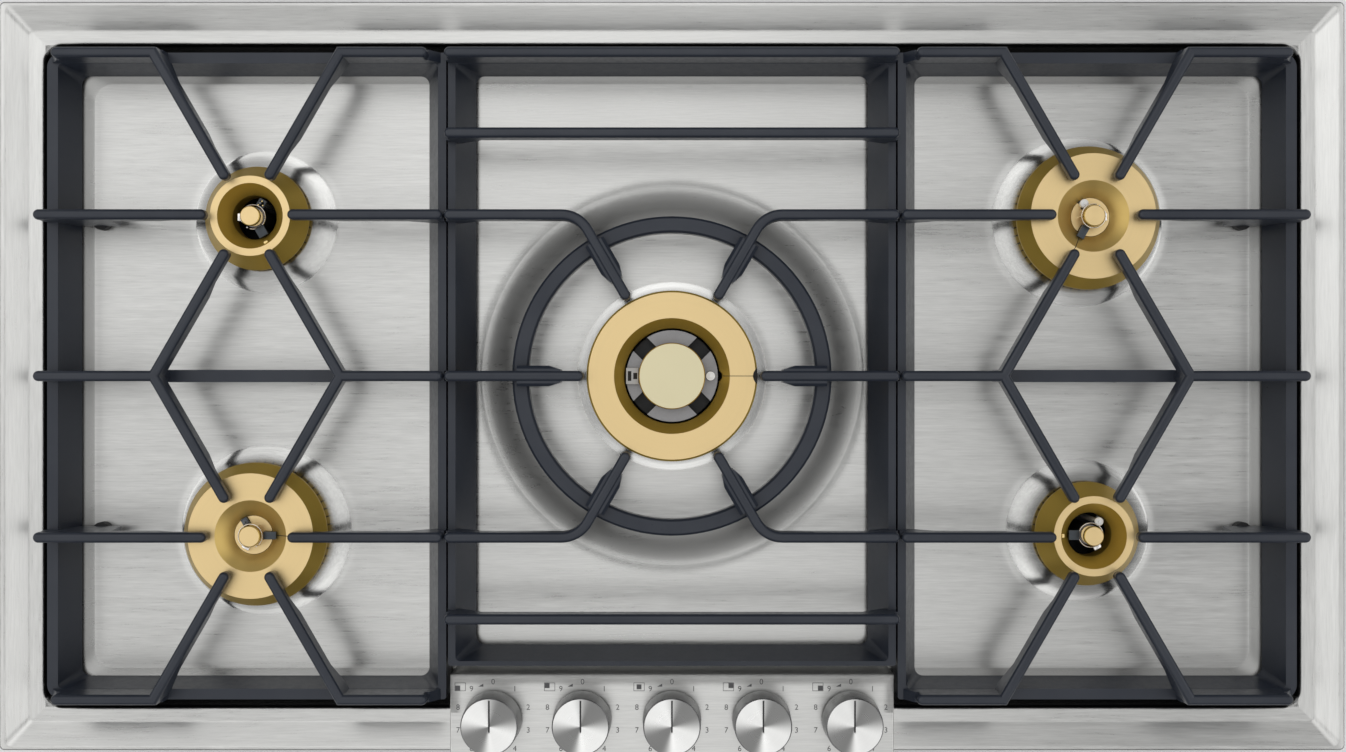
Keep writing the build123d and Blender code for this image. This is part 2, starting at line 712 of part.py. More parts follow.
def tapered_frame(outer, walls_x, walls_y, corners):
    """Low wall round a support: upright outside, inside drawn in towards the foot.

    outer is (left, right, front, back); each wall is (thickness at the top, at the foot).
    """
    left, right, front, back = outer
    middle = ((left + right) / 2, (front + back) / 2)
    with BuildPart() as frame:
        with BuildSketch(level(wall_foot, middle)):
            Rectangle(right - left, back - front)
        extrude(amount=wall_top - wall_foot)
        for edge in frame.edges().filter_by(Axis.Z):
            on_left = edge.center().X < middle[0]
            fillet(edge, radius=corners[0] if on_left else corners[1])
        for height, index in ((wall_top, 0), (wall_foot, 1)):
            inner_left = left + walls_x[0][index]
            inner_right = right - walls_x[1][index]
            inner_front = front + walls_y[0][index]
            inner_back = back - walls_y[1][index]
            spot = ((inner_left + inner_right) / 2, (inner_front + inner_back) / 2)
            with BuildSketch(level(height, spot)):
                RectangleRounded(inner_right - inner_left, inner_back - inner_front, inner_corner[index])
        loft(mode=Mode.SUBTRACT)
    return frame.part


def relief(spot):
    """What is cut from under the fingers over a burner."""
    with BuildPart() as cone:
        with BuildSketch(level(bar_low - clear, spot)):
            Circle(relief_radius + relief_run)
        with BuildSketch(level(finger_low, spot)):
            Circle(relief_radius)
        loft()
    return cone.part


def gusset(points, spot, angle):
    """Web under a bar at a wall; its outline runs inward from the wall's outer face."""
    return plate(points, bar_width, upright(angle, spot))


outer_x, split_x = side_span
rail_y = frame_depth - rail_wall[0] / 2
fork = burner_y / tan(radians(60))  # from the burner's axis to where its two forks meet the middle bar
rail_fork = (rail_y - burner_y) / tan(radians(60))
foot_web = [
    (0, wall_top - weld),
    (gusset_foot[0], wall_foot),
    (gusset_foot[1], wall_foot),
    (gusset_foot[1] + foot_web_splay, bar_low + weld),
    (0, bar_low + weld),
]
small_web = [
    (0, wall_top - weld),
    (rail_wall[0], wall_top - weld),
    (split_gusset[1], bar_low + weld),
    (0, bar_low + weld),
]
split_web = [
    (0, wall_top - weld),
    (split_wall[0], wall_top - split_gusset[0]),
    (split_gusset[1], bar_low + weld),
    (0, bar_low + weld),
]
side_feet = [
    (x, y)
    for x in (outer_x + (gusset_foot[0] + gusset_foot[1]) / 2, split_x - split_wall[1] / 2)
    for y in (-burner_y, burner_y)
]
centre_feet = [
    (side * (centre_half - centre_wall[1] / 2), y) for side in (-1, 1) for y in (-burner_y, burner_y)
]

tip_reach = finger_start + bar_width / 2
with BuildPart() as left_pan_support:
    outline = (outer_x, split_x, -frame_depth, frame_depth)
    corners = (tray_corner, split_corner)
    add(tapered_frame(outline, (tray_wall, split_wall), (rail_wall, rail_wall), corners))
    for side in (-1, 1):
        spot = (-burner_x, side * burner_y)
        # level bars from the walls to the burner
        add(bar([(outer_x - bar_proud + bar_width / 2, spot[1]), polar(spot, 180, tip_reach)]))
        add(bar([(split_x - bar_width / 2, spot[1]), polar(spot, 0, tip_reach)]))
        add(gusset(foot_web, (outer_x, spot[1]), 0))
        add(gusset(split_web, (split_x, spot[1]), 180))
        for wall_x, inward, turn in ((outer_x, 1, 120), (split_x, -1, 60)):
            # high rib on the front or back wall, which turns onto the burner's outer fork
            rib_start = (wall_x + inward * (rib_slope[1] + bar_width / 2), side * rail_y)
            knee = (-burner_x - inward * rail_fork, side * rail_y)
            add(bar([rib_start, knee, polar(spot, side * turn, tip_reach)]))
            web_end = abs(knee[0] - wall_x) + bar_width / 2
            rib_web = [
                (rib_slope[0], wall_top - weld),
                (web_end, wall_top - weld),
                (web_end, bar_low + weld),
                (rib_slope[1], bar_low + weld),
            ]
            add(gusset(rib_web, (wall_x, side * rail_y), 90 - 90 * inward))
            add(gusset(small_web, knee, side * turn + 180))
            # inner fork, to the middle bar
            junction = (-burner_x - inward * fork, 0)
            add(bar([polar(spot, -side * turn, tip_reach), junction]))
    for wall_x, inward, web in ((outer_x - bar_proud, 1, foot_web), (split_x, -1, split_web)):
        junction = (-burner_x - inward * fork, 0)
        add(bar([(wall_x + inward * bar_width / 2, 0), junction]))
        add(gusset(web, (outer_x if inward > 0 else split_x, 0), 90 - 90 * inward))
        add(disc(cross_bar[0] / 2, cross_bar[2], bar_low + weld, junction))
    add(block(2 * fork, cross_bar[0], cross_bar[2], cross_bar[1], (-burner_x, 0)))
    for side in (-1, 1):
        add(relief((-burner_x, side * burner_y)), mode=Mode.SUBTRACT)
    for foot in side_feet:
        add(disc(foot_stem[0], wall_foot, wall_foot + foot_stem[1], foot), mode=Mode.SUBTRACT)
save(left_pan_support, "left_pan_support")

with BuildPart() as right_pan_support:
    mirror(left_pan_support.part, about=Plane.YZ)
save(right_pan_support, "right_pan_support")

lug_outline = [
    (lug_span[0], -lug_width[0] / 2),
    (lug_span[0] + lug_nose, -lug_width[1] / 2),
    (lug_span[1], -lug_width[1] / 2),
    (lug_span[1], lug_width[1] / 2),
    (lug_span[0] + lug_nose, lug_width[1] / 2),
    (lug_span[0], lug_width[0] / 2),
]
with BuildPart() as lug:
    with BuildSketch(level(wok_ring_height[0])):
        with BuildLine():
            Polyline(*lug_outline, close=True)
        make_face()
    extrude(amount=lug_top - wok_ring_height[0])
    chamfer(lug.faces().sort_by(Axis.Z)[-1].edges().filter_by(Axis.X), length=lug_bevel)

with BuildPart() as centre_pan_support:
    outline = (-centre_half, centre_half, -centre_front, frame_depth)
    corners = (split_corner, split_corner)
    add(tapered_frame(outline, (centre_wall, centre_wall), (centre_front_wall, rail_wall), corners))
    edge_x = centre_half - bar_width / 2
    rib_y = frame_depth - bar_width / 2
    for row in (-straight_bar_y, straight_bar_y, rib_y):
        add(bar([(-edge_x, row), (edge_x, row)]))
    add(block(2 * centre_half, bar_width, wall_top - weld, bar_low + weld, (0, rib_y)))
    for side in (-1, 1):
        for turn in (-1, 1):
            # bar that bends onto the line to the burner's axis
            angle = turn * (60 if side > 0 else 120)
            knee = (side * fork, turn * burner_y)
            tip = polar((0, 0), angle, wok_finger_start + bar_width / 2)
            add(bar([(side * edge_x, turn * burner_y), knee, tip], bend_radius))
        add(bar([(side * edge_x, 0), (side * (wok_finger_start + bar_width / 2), 0)]))
        for row in (-straight_bar_y, -burner_y, 0, burner_y, straight_bar_y):
            add(gusset(split_web, (side * centre_half, row), 90 + 90 * side))
    ring_outline = [
        (wok_ring[0], wok_ring_height[0]),
        (wok_ring[1], wok_ring_height[0]),
        (wok_ring[1], wok_ring_height[1] - ring_bevel),
        (wok_ring[1] - ring_bevel, wok_ring_height[1]),
        (wok_ring[0] + ring_bevel, wok_ring_height[1]),
        (wok_ring[0], wok_ring_height[1] - ring_bevel),
    ]
    add(turned(ring_outline, (0, 0)))
    for step in range(6):
        add(lug.part.rotate(Axis((0, tray_y, 0), (0, 0, 1)), 60 * step))
    for foot in centre_feet:
        add(disc(foot_stem[0], wall_foot, wall_foot + foot_stem[1], foot), mode=Mode.SUBTRACT)
save(centre_pan_support, "centre_pan_support")

right_feet = [(-x, y) for x, y in side_feet]
for name, feet in (("left", side_feet), ("centre", centre_feet), ("right", right_feet)):
    with BuildPart() as support_feet:
        for foot in feet:
            add(disc(foot_radius, floor_height + clear, wall_foot, foot))
            add(disc(foot_stem[0], wall_foot, wall_foot + foot_stem[1], foot))
    save(support_feet, f"{name}_support_feet")

# ======== knobs and spindles ============================================================================
def d_section(radius, flat):
    """Round section with one flat, towards the front."""
    Circle(radius)
    with Locations((0, -flat - radius)):
        Rectangle(4 * radius, 2 * radius, mode=Mode.SUBTRACT)


for i, place in enumerate(knob_places):
    with BuildPart() as tap_spindle:
        with BuildSketch(level(knob_bottom, place)):
            d_section(spindle_radius, spindle_flat)
        extrude(amount=spindle_top - knob_bottom)
        add(disc(spindle_radius, spindle_foot, knob_bottom, place))
    save(tap_spindle, f"tap_spindle_{i + 1}")

    with BuildPart() as thrust_collar:
        bore = spindle_radius + fit_gap
        add(disc(collar_ring[0], collar_seat, collar_seat + collar_ring[1], place))
        add(disc(bore, collar_seat, collar_seat + collar_ring[1], place), mode=Mode.SUBTRACT)
    save(thrust_collar, f"thrust_collar_{i + 1}")

    with BuildPart() as control_knob:
        knob_outline = [
            (0, knob_bottom),
            (knob_base_radius, knob_bottom),
            (knob_radius, knob_top - knob_edge),
            (knob_radius - knob_edge, knob_top),
            (0, knob_top - knob_dish),
        ]
        add(turned(knob_outline, place))
        with BuildSketch(level(knob_bottom, place)):
            d_section(spindle_radius + fit_gap, spindle_flat + fit_gap)
        extrude(amount=spindle_top + fit_gap - knob_bottom, mode=Mode.SUBTRACT)
        mark_rear = knob_radius - mark_margin
        mark_length = mark_rear + mark_past_centre
        mark_spot = (place[0], place[1] + (mark_rear - mark_past_centre) / 2)
        mark_foot = knob_top - knob_dish - mark_size[1]
        add(block(mark_size[0], mark_length, mark_foot, knob_top, mark_spot), mode=Mode.SUBTRACT)
    save(control_knob, f"control_knob_{i + 1}")
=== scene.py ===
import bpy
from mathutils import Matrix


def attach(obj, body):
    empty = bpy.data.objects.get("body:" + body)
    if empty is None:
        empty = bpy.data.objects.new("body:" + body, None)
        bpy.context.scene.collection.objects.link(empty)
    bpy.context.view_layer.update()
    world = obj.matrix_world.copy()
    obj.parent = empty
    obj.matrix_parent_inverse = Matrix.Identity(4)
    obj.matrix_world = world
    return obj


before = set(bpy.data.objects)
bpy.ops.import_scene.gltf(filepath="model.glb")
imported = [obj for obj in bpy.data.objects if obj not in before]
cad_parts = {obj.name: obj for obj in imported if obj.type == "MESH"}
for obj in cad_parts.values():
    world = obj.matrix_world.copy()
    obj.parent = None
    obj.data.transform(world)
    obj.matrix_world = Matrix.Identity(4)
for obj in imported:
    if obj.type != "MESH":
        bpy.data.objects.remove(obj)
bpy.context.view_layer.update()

"""Looks of a built-in gas cooktop: brushed tray, brass burners, enamelled pan supports, spun knobs.

Sizes are in millimetres until they meet Blender, which works in metres. Places are (x, y) from the middle
of the tray and heights are over the worktop, so that they read as on the drawing of the part.
"""
import logging
from collections.abc import Callable, Iterator, Sequence
from contextlib import contextmanager
from dataclasses import dataclass
from enum import Enum
from math import cos, pi, radians, sin

import bpy
from mathutils import Matrix, Vector

log = logging.getLogger("cooktop")

Colour = tuple[float, float, float]
Size = tuple[float, float, float]
Spot = tuple[float, float]
Noise = tuple[float, float]  # scale and detail
Relief = tuple[float, float]  # strength, and depth in millimetres
Span = tuple[float, float]  # from and to
Socket = bpy.types.NodeSocket
Material = bpy.types.Material
Piece = bpy.types.Object

MM = 0.001
WORKTOP = 62.0  # worktop over the casing's underside
TRAY_Y = 5.2  # tray centre behind the object's middle
KNOB_PITCH = 60.3
KNOB_X = tuple(KNOB_PITCH * number for number in range(-2, 3))
KNOB_Y = -231.2
PANEL_TOP = 20.0
WIRE_SIDES = 10
SHARP_EDGE = 35.0  # edges sharper than this many degrees stay sharp
DOUBLES = 0.01  # points nearer than this are one point
NOISE_ROUGHNESS = 0.6
NOISE_SPAN = (0.3, 0.7)  # where nearly all of a noise lies
BLACK = (0.0, 0.0, 0.0)
WHITE = (1.0, 1.0, 1.0)


def place(x: float, y: float, height: float) -> Vector:
    """Turn a drawing's place and height into a point in metres."""
    return Vector((x * MM, (y + TRAY_Y) * MM, (height + WORKTOP) * MM))


def polar(spot: Spot, angle: float, reach: float) -> Spot:
    """The point at an angle in degrees and a distance from a spot."""
    return (spot[0] + reach * cos(radians(angle)), spot[1] + reach * sin(radians(angle)))


# ======== node recipes ========
class Tree:
    """A node tree while it is being written."""

    def __init__(self, tree: bpy.types.NodeTree) -> None:
        """Start on the tree of a material or of the world."""
        self.tree = tree

    def put(self, socket: Socket, value: object) -> None:
        """Link a socket to another node's output, or set it to a plain value.

        Args:
            socket: The socket to fill.
            value: The output, number, vector or colour.
        """
        if isinstance(value, Socket):
            self.tree.links.new(value, socket)
        elif socket.type == "RGBA":
            socket.default_value = (*value, 1.0)
        else:
            socket.default_value = value

    def node(self, kind: str, inputs: dict | tuple = (), **settings: object) -> bpy.types.Node:
        """Add a node.

        Args:
            kind: The node's type name.
            inputs: What goes into its sockets, in their order or under their names or numbers.
            settings: Properties of the node itself, such as operation.

        Returns:
            The new node.
        """
        made = self.tree.nodes.new(kind)
        for key, value in settings.items():
            setattr(made, key, value)
        for key, value in inputs.items() if isinstance(inputs, dict) else enumerate(inputs):
            self.put(made.inputs[key], value)
        return made

    def math(self, operation: str, *values: object) -> Socket:
        """Work out one number from others."""
        return self.node("ShaderNodeMath", values, operation=operation).outputs["Value"]

    def vector(self, operation: str, *values: object) -> Socket:
        """Work out one vector from others."""
        return self.node("ShaderNodeVectorMath", values, operation=operation).outputs["Vector"]

    def length(self, vector: Socket) -> Socket:
        """The length of a vector."""
        return self.node("ShaderNodeVectorMath", (vector,), operation="LENGTH").outputs["Value"]

    def split(self, vector: Socket) -> list[Socket]:
        """The three parts of a vector."""
        return list(self.node("ShaderNodeSeparateXYZ", (vector,)).outputs)

    def join(self, x: object, y: object, z: object) -> Socket:
        """A vector from its three parts."""
        return self.node("ShaderNodeCombineXYZ", (x, y, z)).outputs["Vector"]

    def product(self, first: object, *others: object) -> object:
        """Multiply any number of values.

        Args:
            first: The first of them.
            others: The rest.

        Returns:
            Their product.
        """
        for other in others:
            first = self.math("MULTIPLY", first, other)
        return first

    def weigh(self, first: object, second: object, share: float) -> Socket:
        """The first number's share and the rest of the second."""
        return self.math("ADD", self.product(first, share), self.product(second, 1.0 - share))

    def spread(self, value: object, low: float, high: float, to_low: object, to_high: object,
               soft: bool = False) -> Socket:
        """Stretch a number from one range to another, held inside it.

        Args:
            value: The number.
            low: Start of its range.
            high: End of its range.
            to_low: What the start becomes.
            to_high: What the end becomes.
            soft: Ease in and out instead of running straight.

        Returns:
            The new number.
        """
        kind = "SMOOTHSTEP" if soft else "LINEAR"
        numbers = (value, low, high, to_low, to_high)
        return self.node("ShaderNodeMapRange", numbers, interpolation_type=kind).outputs["Result"]


class Recipe(Tree):
    """A material's node tree round one Principled shader."""

    def __init__(self, name: str) -> None:
        """Start a material.

        Args:
            name: The material's name.
        """
        self.material = bpy.data.materials.new(name)
        self.material.use_nodes = True
        super().__init__(self.material.node_tree)
        self.shader = self.tree.nodes["Principled BSDF"]
        self.point = self.node("ShaderNodeTexCoord").outputs["Object"]

    def facing_up(self) -> Socket:
        """How far the surface faces upward: 1 on a flat top, 0 on a wall."""
        return self.split(self.node("ShaderNodeNewGeometry").outputs["Normal"])[2]

    def noise(self, scale: float, detail: float, vector: Socket | None = None) -> Socket:
        """Fractal noise from 0 to 1, on the point or on another vector."""
        inputs = {"Vector": vector or self.point, "Scale": scale, "Detail": detail}
        return self.node("ShaderNodeTexNoise", inputs | {"Roughness": NOISE_ROUGHNESS}).outputs["Fac"]

    def swing(self, noise: Socket, level: float, below: float, above: float) -> Socket:
        """A level that goes down and up with a noise."""
        return self.spread(noise, *NOISE_SPAN, level - below, level + above)

    def mix(self, factor: object, first: object, second: object) -> Socket:
        """Blend two colours."""
        inputs = {0: factor, 6: first, 7: second}
        return self.node("ShaderNodeMix", inputs, data_type="RGBA").outputs[2]

    def choose(self, factor: object, first: Socket, second: Socket) -> Socket:
        """Take one vector where the factor is 0 and the other where it is 1."""
        inputs = {0: factor, 4: first, 5: second}
        return self.node("ShaderNodeMix", inputs, data_type="VECTOR").outputs[1]

    def tint(self, colour: Colour, value: Socket, amount: float) -> Socket:
        """A colour that gets darker and lighter by a share of itself, with a number from 0 to 1."""
        dark, light = (tuple(c * share for c in colour) for share in (1 - amount, 1 + amount))
        return self.mix(value, dark, light)

    def outside(self, aside: tuple[Socket, Socket], half: Spot) -> Socket:
        """1 outside a rectangle of half this size round the tray's middle, 0 inside it."""
        return self.math("MAXIMUM", *(self.math("GREATER_THAN", a, h * MM) for a, h in zip(aside, half)))

    def bump(self, height: Socket, strength: float, depth: float, base: Socket | None = None) -> Socket:
        """A normal that follows a height.

        Args:
            height: The height, from 0 to 1.
            strength: How much of it shows.
            depth: The height's real size in millimetres.
            base: The normal to start from, if it isn't the surface's own.

        Returns:
            The normal socket.
        """
        inputs = {"Strength": strength, "Distance": depth * MM, "Height": height}
        if base:
            inputs["Normal"] = base
        return self.node("ShaderNodeBump", inputs).outputs["Normal"]

    def finish(self, **values: object) -> Material:
        """Fill the shader.

        Args:
            values: What goes into its sockets, named with underscores for spaces.

        Returns:
            The finished material.
        """
        for key, value in values.items():
            self.put(self.shader.inputs[key.replace("_", " ")], value)
        return self.material


# ======== finishes ========
class Grain(Enum):
    """Which way a sheet is brushed."""

    ALONG_X = "along the width"
    MITRED = "along each side of the rim"


@dataclass(frozen=True)
class BrushedSheet:
    """Brushed stainless sheet, with polished places round its pressed collars, and painted shade in the gap
    beside the supports, round the burner rings and on sloping parts.
    """

    name: str
    grain: Grain
    colour: Colour = (0.60, 0.60, 0.585)
    tone: float = 0.13  # how far the streaks are darker and lighter
    roughness: float = 0.30
    anisotropy: float = 0.55
    stretch: float = 0.06  # width of a streak, as a share of its length
    fine: Noise = (900.0, 3.0)
    coarse: Noise = (230.0, 2.0)
    cloud: Noise = (7.0, 2.0)
    fine_share: float = 0.6
    scratch: Relief = (0.40, 0.013)
    rim_half: Spot = (430.0, 227.0)  # the brushing turns along the rim outside this
    press_round: Spot = (9.0, 2.0)  # how wide the pressed edges look rounded: in the recess, on the rim
    round_samples: int = 8
    collars: tuple[Size, ...] = ()  # x, y and outer radius
    collar_edge: float = 0.5  # the polish fades over this, to either side of a collar's foot
    collar_polish: float = 0.55  # roughness of the collars, as a share of the sheet's
    collar_streak: float = 0.3  # how much of the streaks is left on them
    collar_ease: float = 7.0  # how strongly the collars' slopes are shaded as if level
    ease_end: float = 1.5  # where that ends outside a collar, in widths of the rounding
    halo: float = 0.55  # painted shade: how dark the sheet is painted close in to a burner ring
    halo_run: Span = (12.0, 3.0)  # inward of a collar's foot: where that painted shade is darkest, where it ends
    slope_shade: float = 0.52  # painted shade: sloping parts in the recess, such as the bowl's slope, are painted this much darker
    slope_span: Span = (0.966, 0.999)  # how far up a full slope faces, and a level floor
    gap_half: Spot = (422.5, 219.0)  # outside this and below the band, the gap beside the supports is painted dark, as painted shade
    gap_top: float = 1.4
    gap_fade: float = 3.0
    # painted shade: the colour painted into the gap beside the supports
    gap_colour: Colour = (0.03, 0.03, 0.03)

    def build(self) -> Material:
        """Write the material.

        Returns:
            The material.
        """
        recipe = Recipe(self.name)
        x, y, z = recipe.split(recipe.point)
        aside = (recipe.math("ABSOLUTE", x), recipe.math("ABSOLUTE", recipe.math("SUBTRACT", y, TRAY_Y * MM)))
        direction = recipe.join(recipe.product(x, self.stretch), y, z)
        turn = 0.0
        if self.grain is Grain.MITRED:
            side, depth = (recipe.math("SUBTRACT", a, h * MM) for a, h in zip(aside, self.rim_half))
            turn = recipe.math("GREATER_THAN", side, recipe.math("MAXIMUM", depth, 0.0))
            across = recipe.join(x, recipe.product(y, self.stretch), z)
            direction = recipe.choose(turn, direction, across)
        fine = recipe.noise(*self.fine, direction)
        streak = recipe.weigh(fine, recipe.noise(*self.coarse, direction), self.fine_share)
        cloud = recipe.noise(*self.cloud)
        rough = recipe.math(
            "ADD", recipe.swing(streak, self.roughness, 0.05, 0.06), recipe.swing(cloud, 0.0, 0.01, 0.02)
        )
        colour = recipe.tint(self.colour, recipe.spread(streak, *NOISE_SPAN, 0.0, 1.0), self.tone)
        rim = recipe.outside(aside, self.rim_half)
        widths = recipe.spread(rim, 0.0, 1.0, *(width * MM for width in self.press_round))
        rounded = recipe.node("ShaderNodeBevel", {"Radius": widths}, samples=self.round_samples)
        base = rounded.outputs["Normal"]
        if self.collars:
            polish, calm, undarkened = self.around_collars(recipe, recipe.join(x, y, 0.0))
            gap = recipe.outside(aside, self.gap_half)
            colour = self.shade(recipe, colour, undarkened, calm, gap, recipe.split(base)[2], z)
            rough = recipe.product(rough, recipe.spread(polish, 0.0, 1.0, 1.0, self.collar_polish))
            kept = recipe.spread(polish, 0.0, 1.0, 1.0, self.collar_streak)
            streak = recipe.math("MULTIPLY_ADD", recipe.math("SUBTRACT", streak, 0.5), kept, 0.5)
            lift = recipe.join(0.0, 0.0, recipe.product(calm, self.collar_ease))
            base = recipe.vector("NORMALIZE", recipe.vector("ADD", base, lift))
        return recipe.finish(
            Base_Color=colour,
            Metallic=1.0,
            Roughness=rough,
            Anisotropic=self.anisotropy,
            Tangent=recipe.join(turn, recipe.math("SUBTRACT", 1.0, turn), 0.0),
            Normal=recipe.bump(streak, *self.scratch, base),
        )

    def around_collars(self, recipe: Recipe, flat: Socket) -> tuple[object, object, object]:
        """Work out what the sheet is like round the collars.

        Args:
            recipe: The material's recipe.
            flat: The point, brought down to one level.

        Returns:
            1 on the collars and 0 elsewhere, the same with the rounding round them, and the share of colour
            left by the painted shade round each ring.
        """
        polish, calm, undarkened = 0.0, 0.0, 1.0
        edge, rounding = self.collar_edge * MM, self.press_round[0] * MM
        dark, light = (-inward * MM for inward in self.halo_run)
        for x, y, radius in self.collars:
            away = recipe.length(recipe.vector("SUBTRACT", flat, (x * MM, (y + TRAY_Y) * MM, 0.0)))
            past = recipe.math("SUBTRACT", away, radius * MM)
            polish = recipe.math("MAXIMUM", polish, recipe.spread(past, -edge, edge, 1.0, 0.0))
            near = recipe.spread(past, rounding, self.ease_end * rounding, 1.0, 0.0)
            calm = recipe.math("MAXIMUM", calm, near)
            # painted shade close in to this burner ring
            undarkened = recipe.math("MINIMUM", undarkened, recipe.spread(past, dark, light, self.halo, 1.0, soft=True))
        return polish, calm, undarkened

    def shade(self, recipe: Recipe, colour: Socket, undarkened: Socket, calm: Socket, gap: Socket, up: Socket,
              z: Socket) -> Socket:
        """Paint shade into the gap beside the supports, round each burner ring and onto the bowl's slope.

        Args:
            recipe: The material's recipe.
            colour: The sheet's own colour.
            undarkened: The share of colour left by the painted shade round each burner ring.
            calm: 1 where a slope is shaded as if level.
            gap: 1 outside the supports.
            up: How far the surface faces upward.
            z: The point's height.

        Returns:
            The colour to show.
        """
        top = (self.gap_top + WORKTOP) * MM
        below = recipe.spread(z, top - self.gap_fade * MM, top, 1.0, 0.0)
        # painted shade: the gap beside the supports is painted nearly black below the band
        colour = recipe.mix(recipe.product(gap, below), colour, self.gap_colour)
        # painted shade: a dark ring painted round each burner ring
        colour = recipe.mix(undarkened, BLACK, colour)
        # painted shade: sloping parts away from the collars and the rim take a darker colour
        sloping = recipe.spread(up, *self.slope_span, 1.0, 0.0, soft=True)
        plain = recipe.math("SUBTRACT", 1.0, recipe.math("MAXIMUM", calm, gap))
        darker = tuple(c * self.slope_shade for c in self.colour)
        return recipe.mix(recipe.product(sloping, plain), colour, darker)


@dataclass(frozen=True)
class SpunMetal:
    """Metal turned or spun about an upright axis, with fine rings, an anisotropic sheen, painted shade on
    slopes and painted sheen on level faces where asked.
    """

    name: str
    colour: Colour
    centre: Spot
    pitch: float = 0.0  # the axis repeats along x at this distance
    roughness: float = 0.30
    anisotropy: float = 0.6
    fine: Noise = (1400.0, 3.0)
    broad: Noise = (260.0, 2.0)
    cloud: Noise = (60.0, 3.0)
    fine_share: float = 0.6
    ring_strength: float = 0.4
    ring_depth: float = 0.006
    ring_tint: float = 0.08
    slope: Colour | None = None  # painted shade: the darker colour painted where the surface falls away from level
    dull: float = 0.0  # how far the slopes look oxidised instead of metallic
    slope_span: Span = (0.70, 0.97)  # how far up a slope and a level face look
    fans: Span | None = None  # painted sheen: the dark and the bright lobes painted on level faces, as shares of the colour
    fan_reach: float = 0.42  # outward x times y at which a fan is full
    flare: Spot = (40.0, 0.5)  # painted highlight: how narrow the bright line painted to the front is, and how bright
    face_span: Span = (0.90, 0.99)  # how far up the faces that take the painted sheen look

    def build(self) -> Material:
        """Write the material.

        Returns:
            The material.
        """
        recipe = Recipe(self.name)
        x, y, z = recipe.split(recipe.point)
        away_x = recipe.math("SUBTRACT", x, self.centre[0] * MM)
        if self.pitch:
            away_x = recipe.math("WRAP", away_x, self.pitch / 2 * MM, -self.pitch / 2 * MM)
        away_y = recipe.math("SUBTRACT", y, (self.centre[1] + TRAY_Y) * MM)
        flat = recipe.join(away_x, away_y, 0.0)
        radius = recipe.length(flat)
        rings = recipe.noise(*self.fine, recipe.join(radius, z, 0.0))
        broad = recipe.noise(*self.broad, recipe.join(radius, z, 0.3))
        mark = recipe.weigh(rings, broad, self.fine_share)
        cloud = recipe.noise(*self.cloud)
        rough = recipe.math(
            "ADD", recipe.swing(mark, self.roughness, 0.05, 0.06), recipe.swing(cloud, 0.0, 0.02, 0.03)
        )
        outward = recipe.vector("NORMALIZE", flat)
        turned = recipe.node("ShaderNodeVectorTransform", {"Vector": outward}, vector_type="VECTOR",
                             convert_from="OBJECT", convert_to="WORLD")
        up = recipe.facing_up()
        colour = recipe.tint(self.colour, mark, self.ring_tint)
        # painted shade: faces that fall away from level take the darker colour
        if self.slope:
            level = recipe.spread(up, *self.slope_span, 0.0, 1.0, soft=True)
            colour = recipe.mix(level, recipe.tint(self.slope, mark, self.ring_tint), colour)
        # painted sheen and painted highlight, multiplied into the colour
        if self.fans:
            colour = recipe.vector("MULTIPLY", colour, self.sheen(recipe, outward, up))
        return recipe.finish(
            Base_Color=colour,
            Metallic=recipe.spread(up, *self.slope_span, 1.0 - self.dull, 1.0) if self.dull else 1.0,
            Roughness=rough,
            Anisotropic=self.anisotropy,
            Tangent=turned.outputs["Vector"],
            Normal=recipe.bump(mark, self.ring_strength, self.ring_depth),
        )

    def sheen(self, recipe: Recipe, outward: Socket, up: Socket) -> Socket:
        """Work out how bright the painted sheen and painted highlight leave a level face.

        Args:
            recipe: The material's recipe.
            outward: The direction away from the axis.
            up: How far the surface faces upward.

        Returns:
            The share of the colour that is left, 1 away from level faces.
        """
        out_x, out_y, _ = recipe.split(outward)
        slant = recipe.product(out_x, out_y)
        lobe = recipe.spread(slant, self.fan_reach, -self.fan_reach, *self.fans, soft=True)
        forward = recipe.math("MAXIMUM", recipe.product(out_y, -1.0), 0.0)
        narrow, bright = self.flare
        flare = recipe.product(recipe.math("POWER", forward, narrow), bright)
        change = recipe.math("SUBTRACT", recipe.math("ADD", lobe, flare), 1.0)
        return recipe.math("MULTIPLY_ADD", change, recipe.spread(up, *self.face_span, 0.0, 1.0), 1.0)


@dataclass(frozen=True)
class CastEnamel:
    """Cast iron under thin blue-black enamel: fine grain, soft lumps, and a painted highlight in patches
    along the tops.
    """

    name: str
    colour: Colour = (0.019, 0.024, 0.036)
    worn: Colour = (0.032, 0.037, 0.048)
    roughness: float = 0.33
    grain: Noise = (1300.0, 3.0)
    lump: Noise = (240.0, 2.0)
    cloud: Noise = (22.0, 3.0)
    grain_share: float = 0.45
    relief: Relief = (0.30, 0.06)
    top_span: Span = (0.75, 1.0)  # how far up the faces with the painted highlight look

    def build(self) -> Material:
        """Write the material.

        Returns:
            The material.
        """
        recipe = Recipe(self.name)
        grain = recipe.noise(*self.grain)
        height = recipe.weigh(grain, recipe.noise(*self.lump), self.grain_share)
        cloud = recipe.noise(*self.cloud)
        # painted highlight: upward faces lighter, in patches
        top = recipe.spread(recipe.facing_up(), *self.top_span, 0.0, 1.0)
        top = recipe.product(top, recipe.spread(cloud, 0.35, 0.7, 0.15, 0.8))
        return recipe.finish(
            Base_Color=recipe.mix(top, recipe.tint(self.colour, cloud, 0.16), self.worn),
            Roughness=recipe.swing(height, self.roughness, 0.06, 0.10),
            Specular_IOR_Level=0.38,
            Normal=recipe.bump(height, *self.relief),
        )


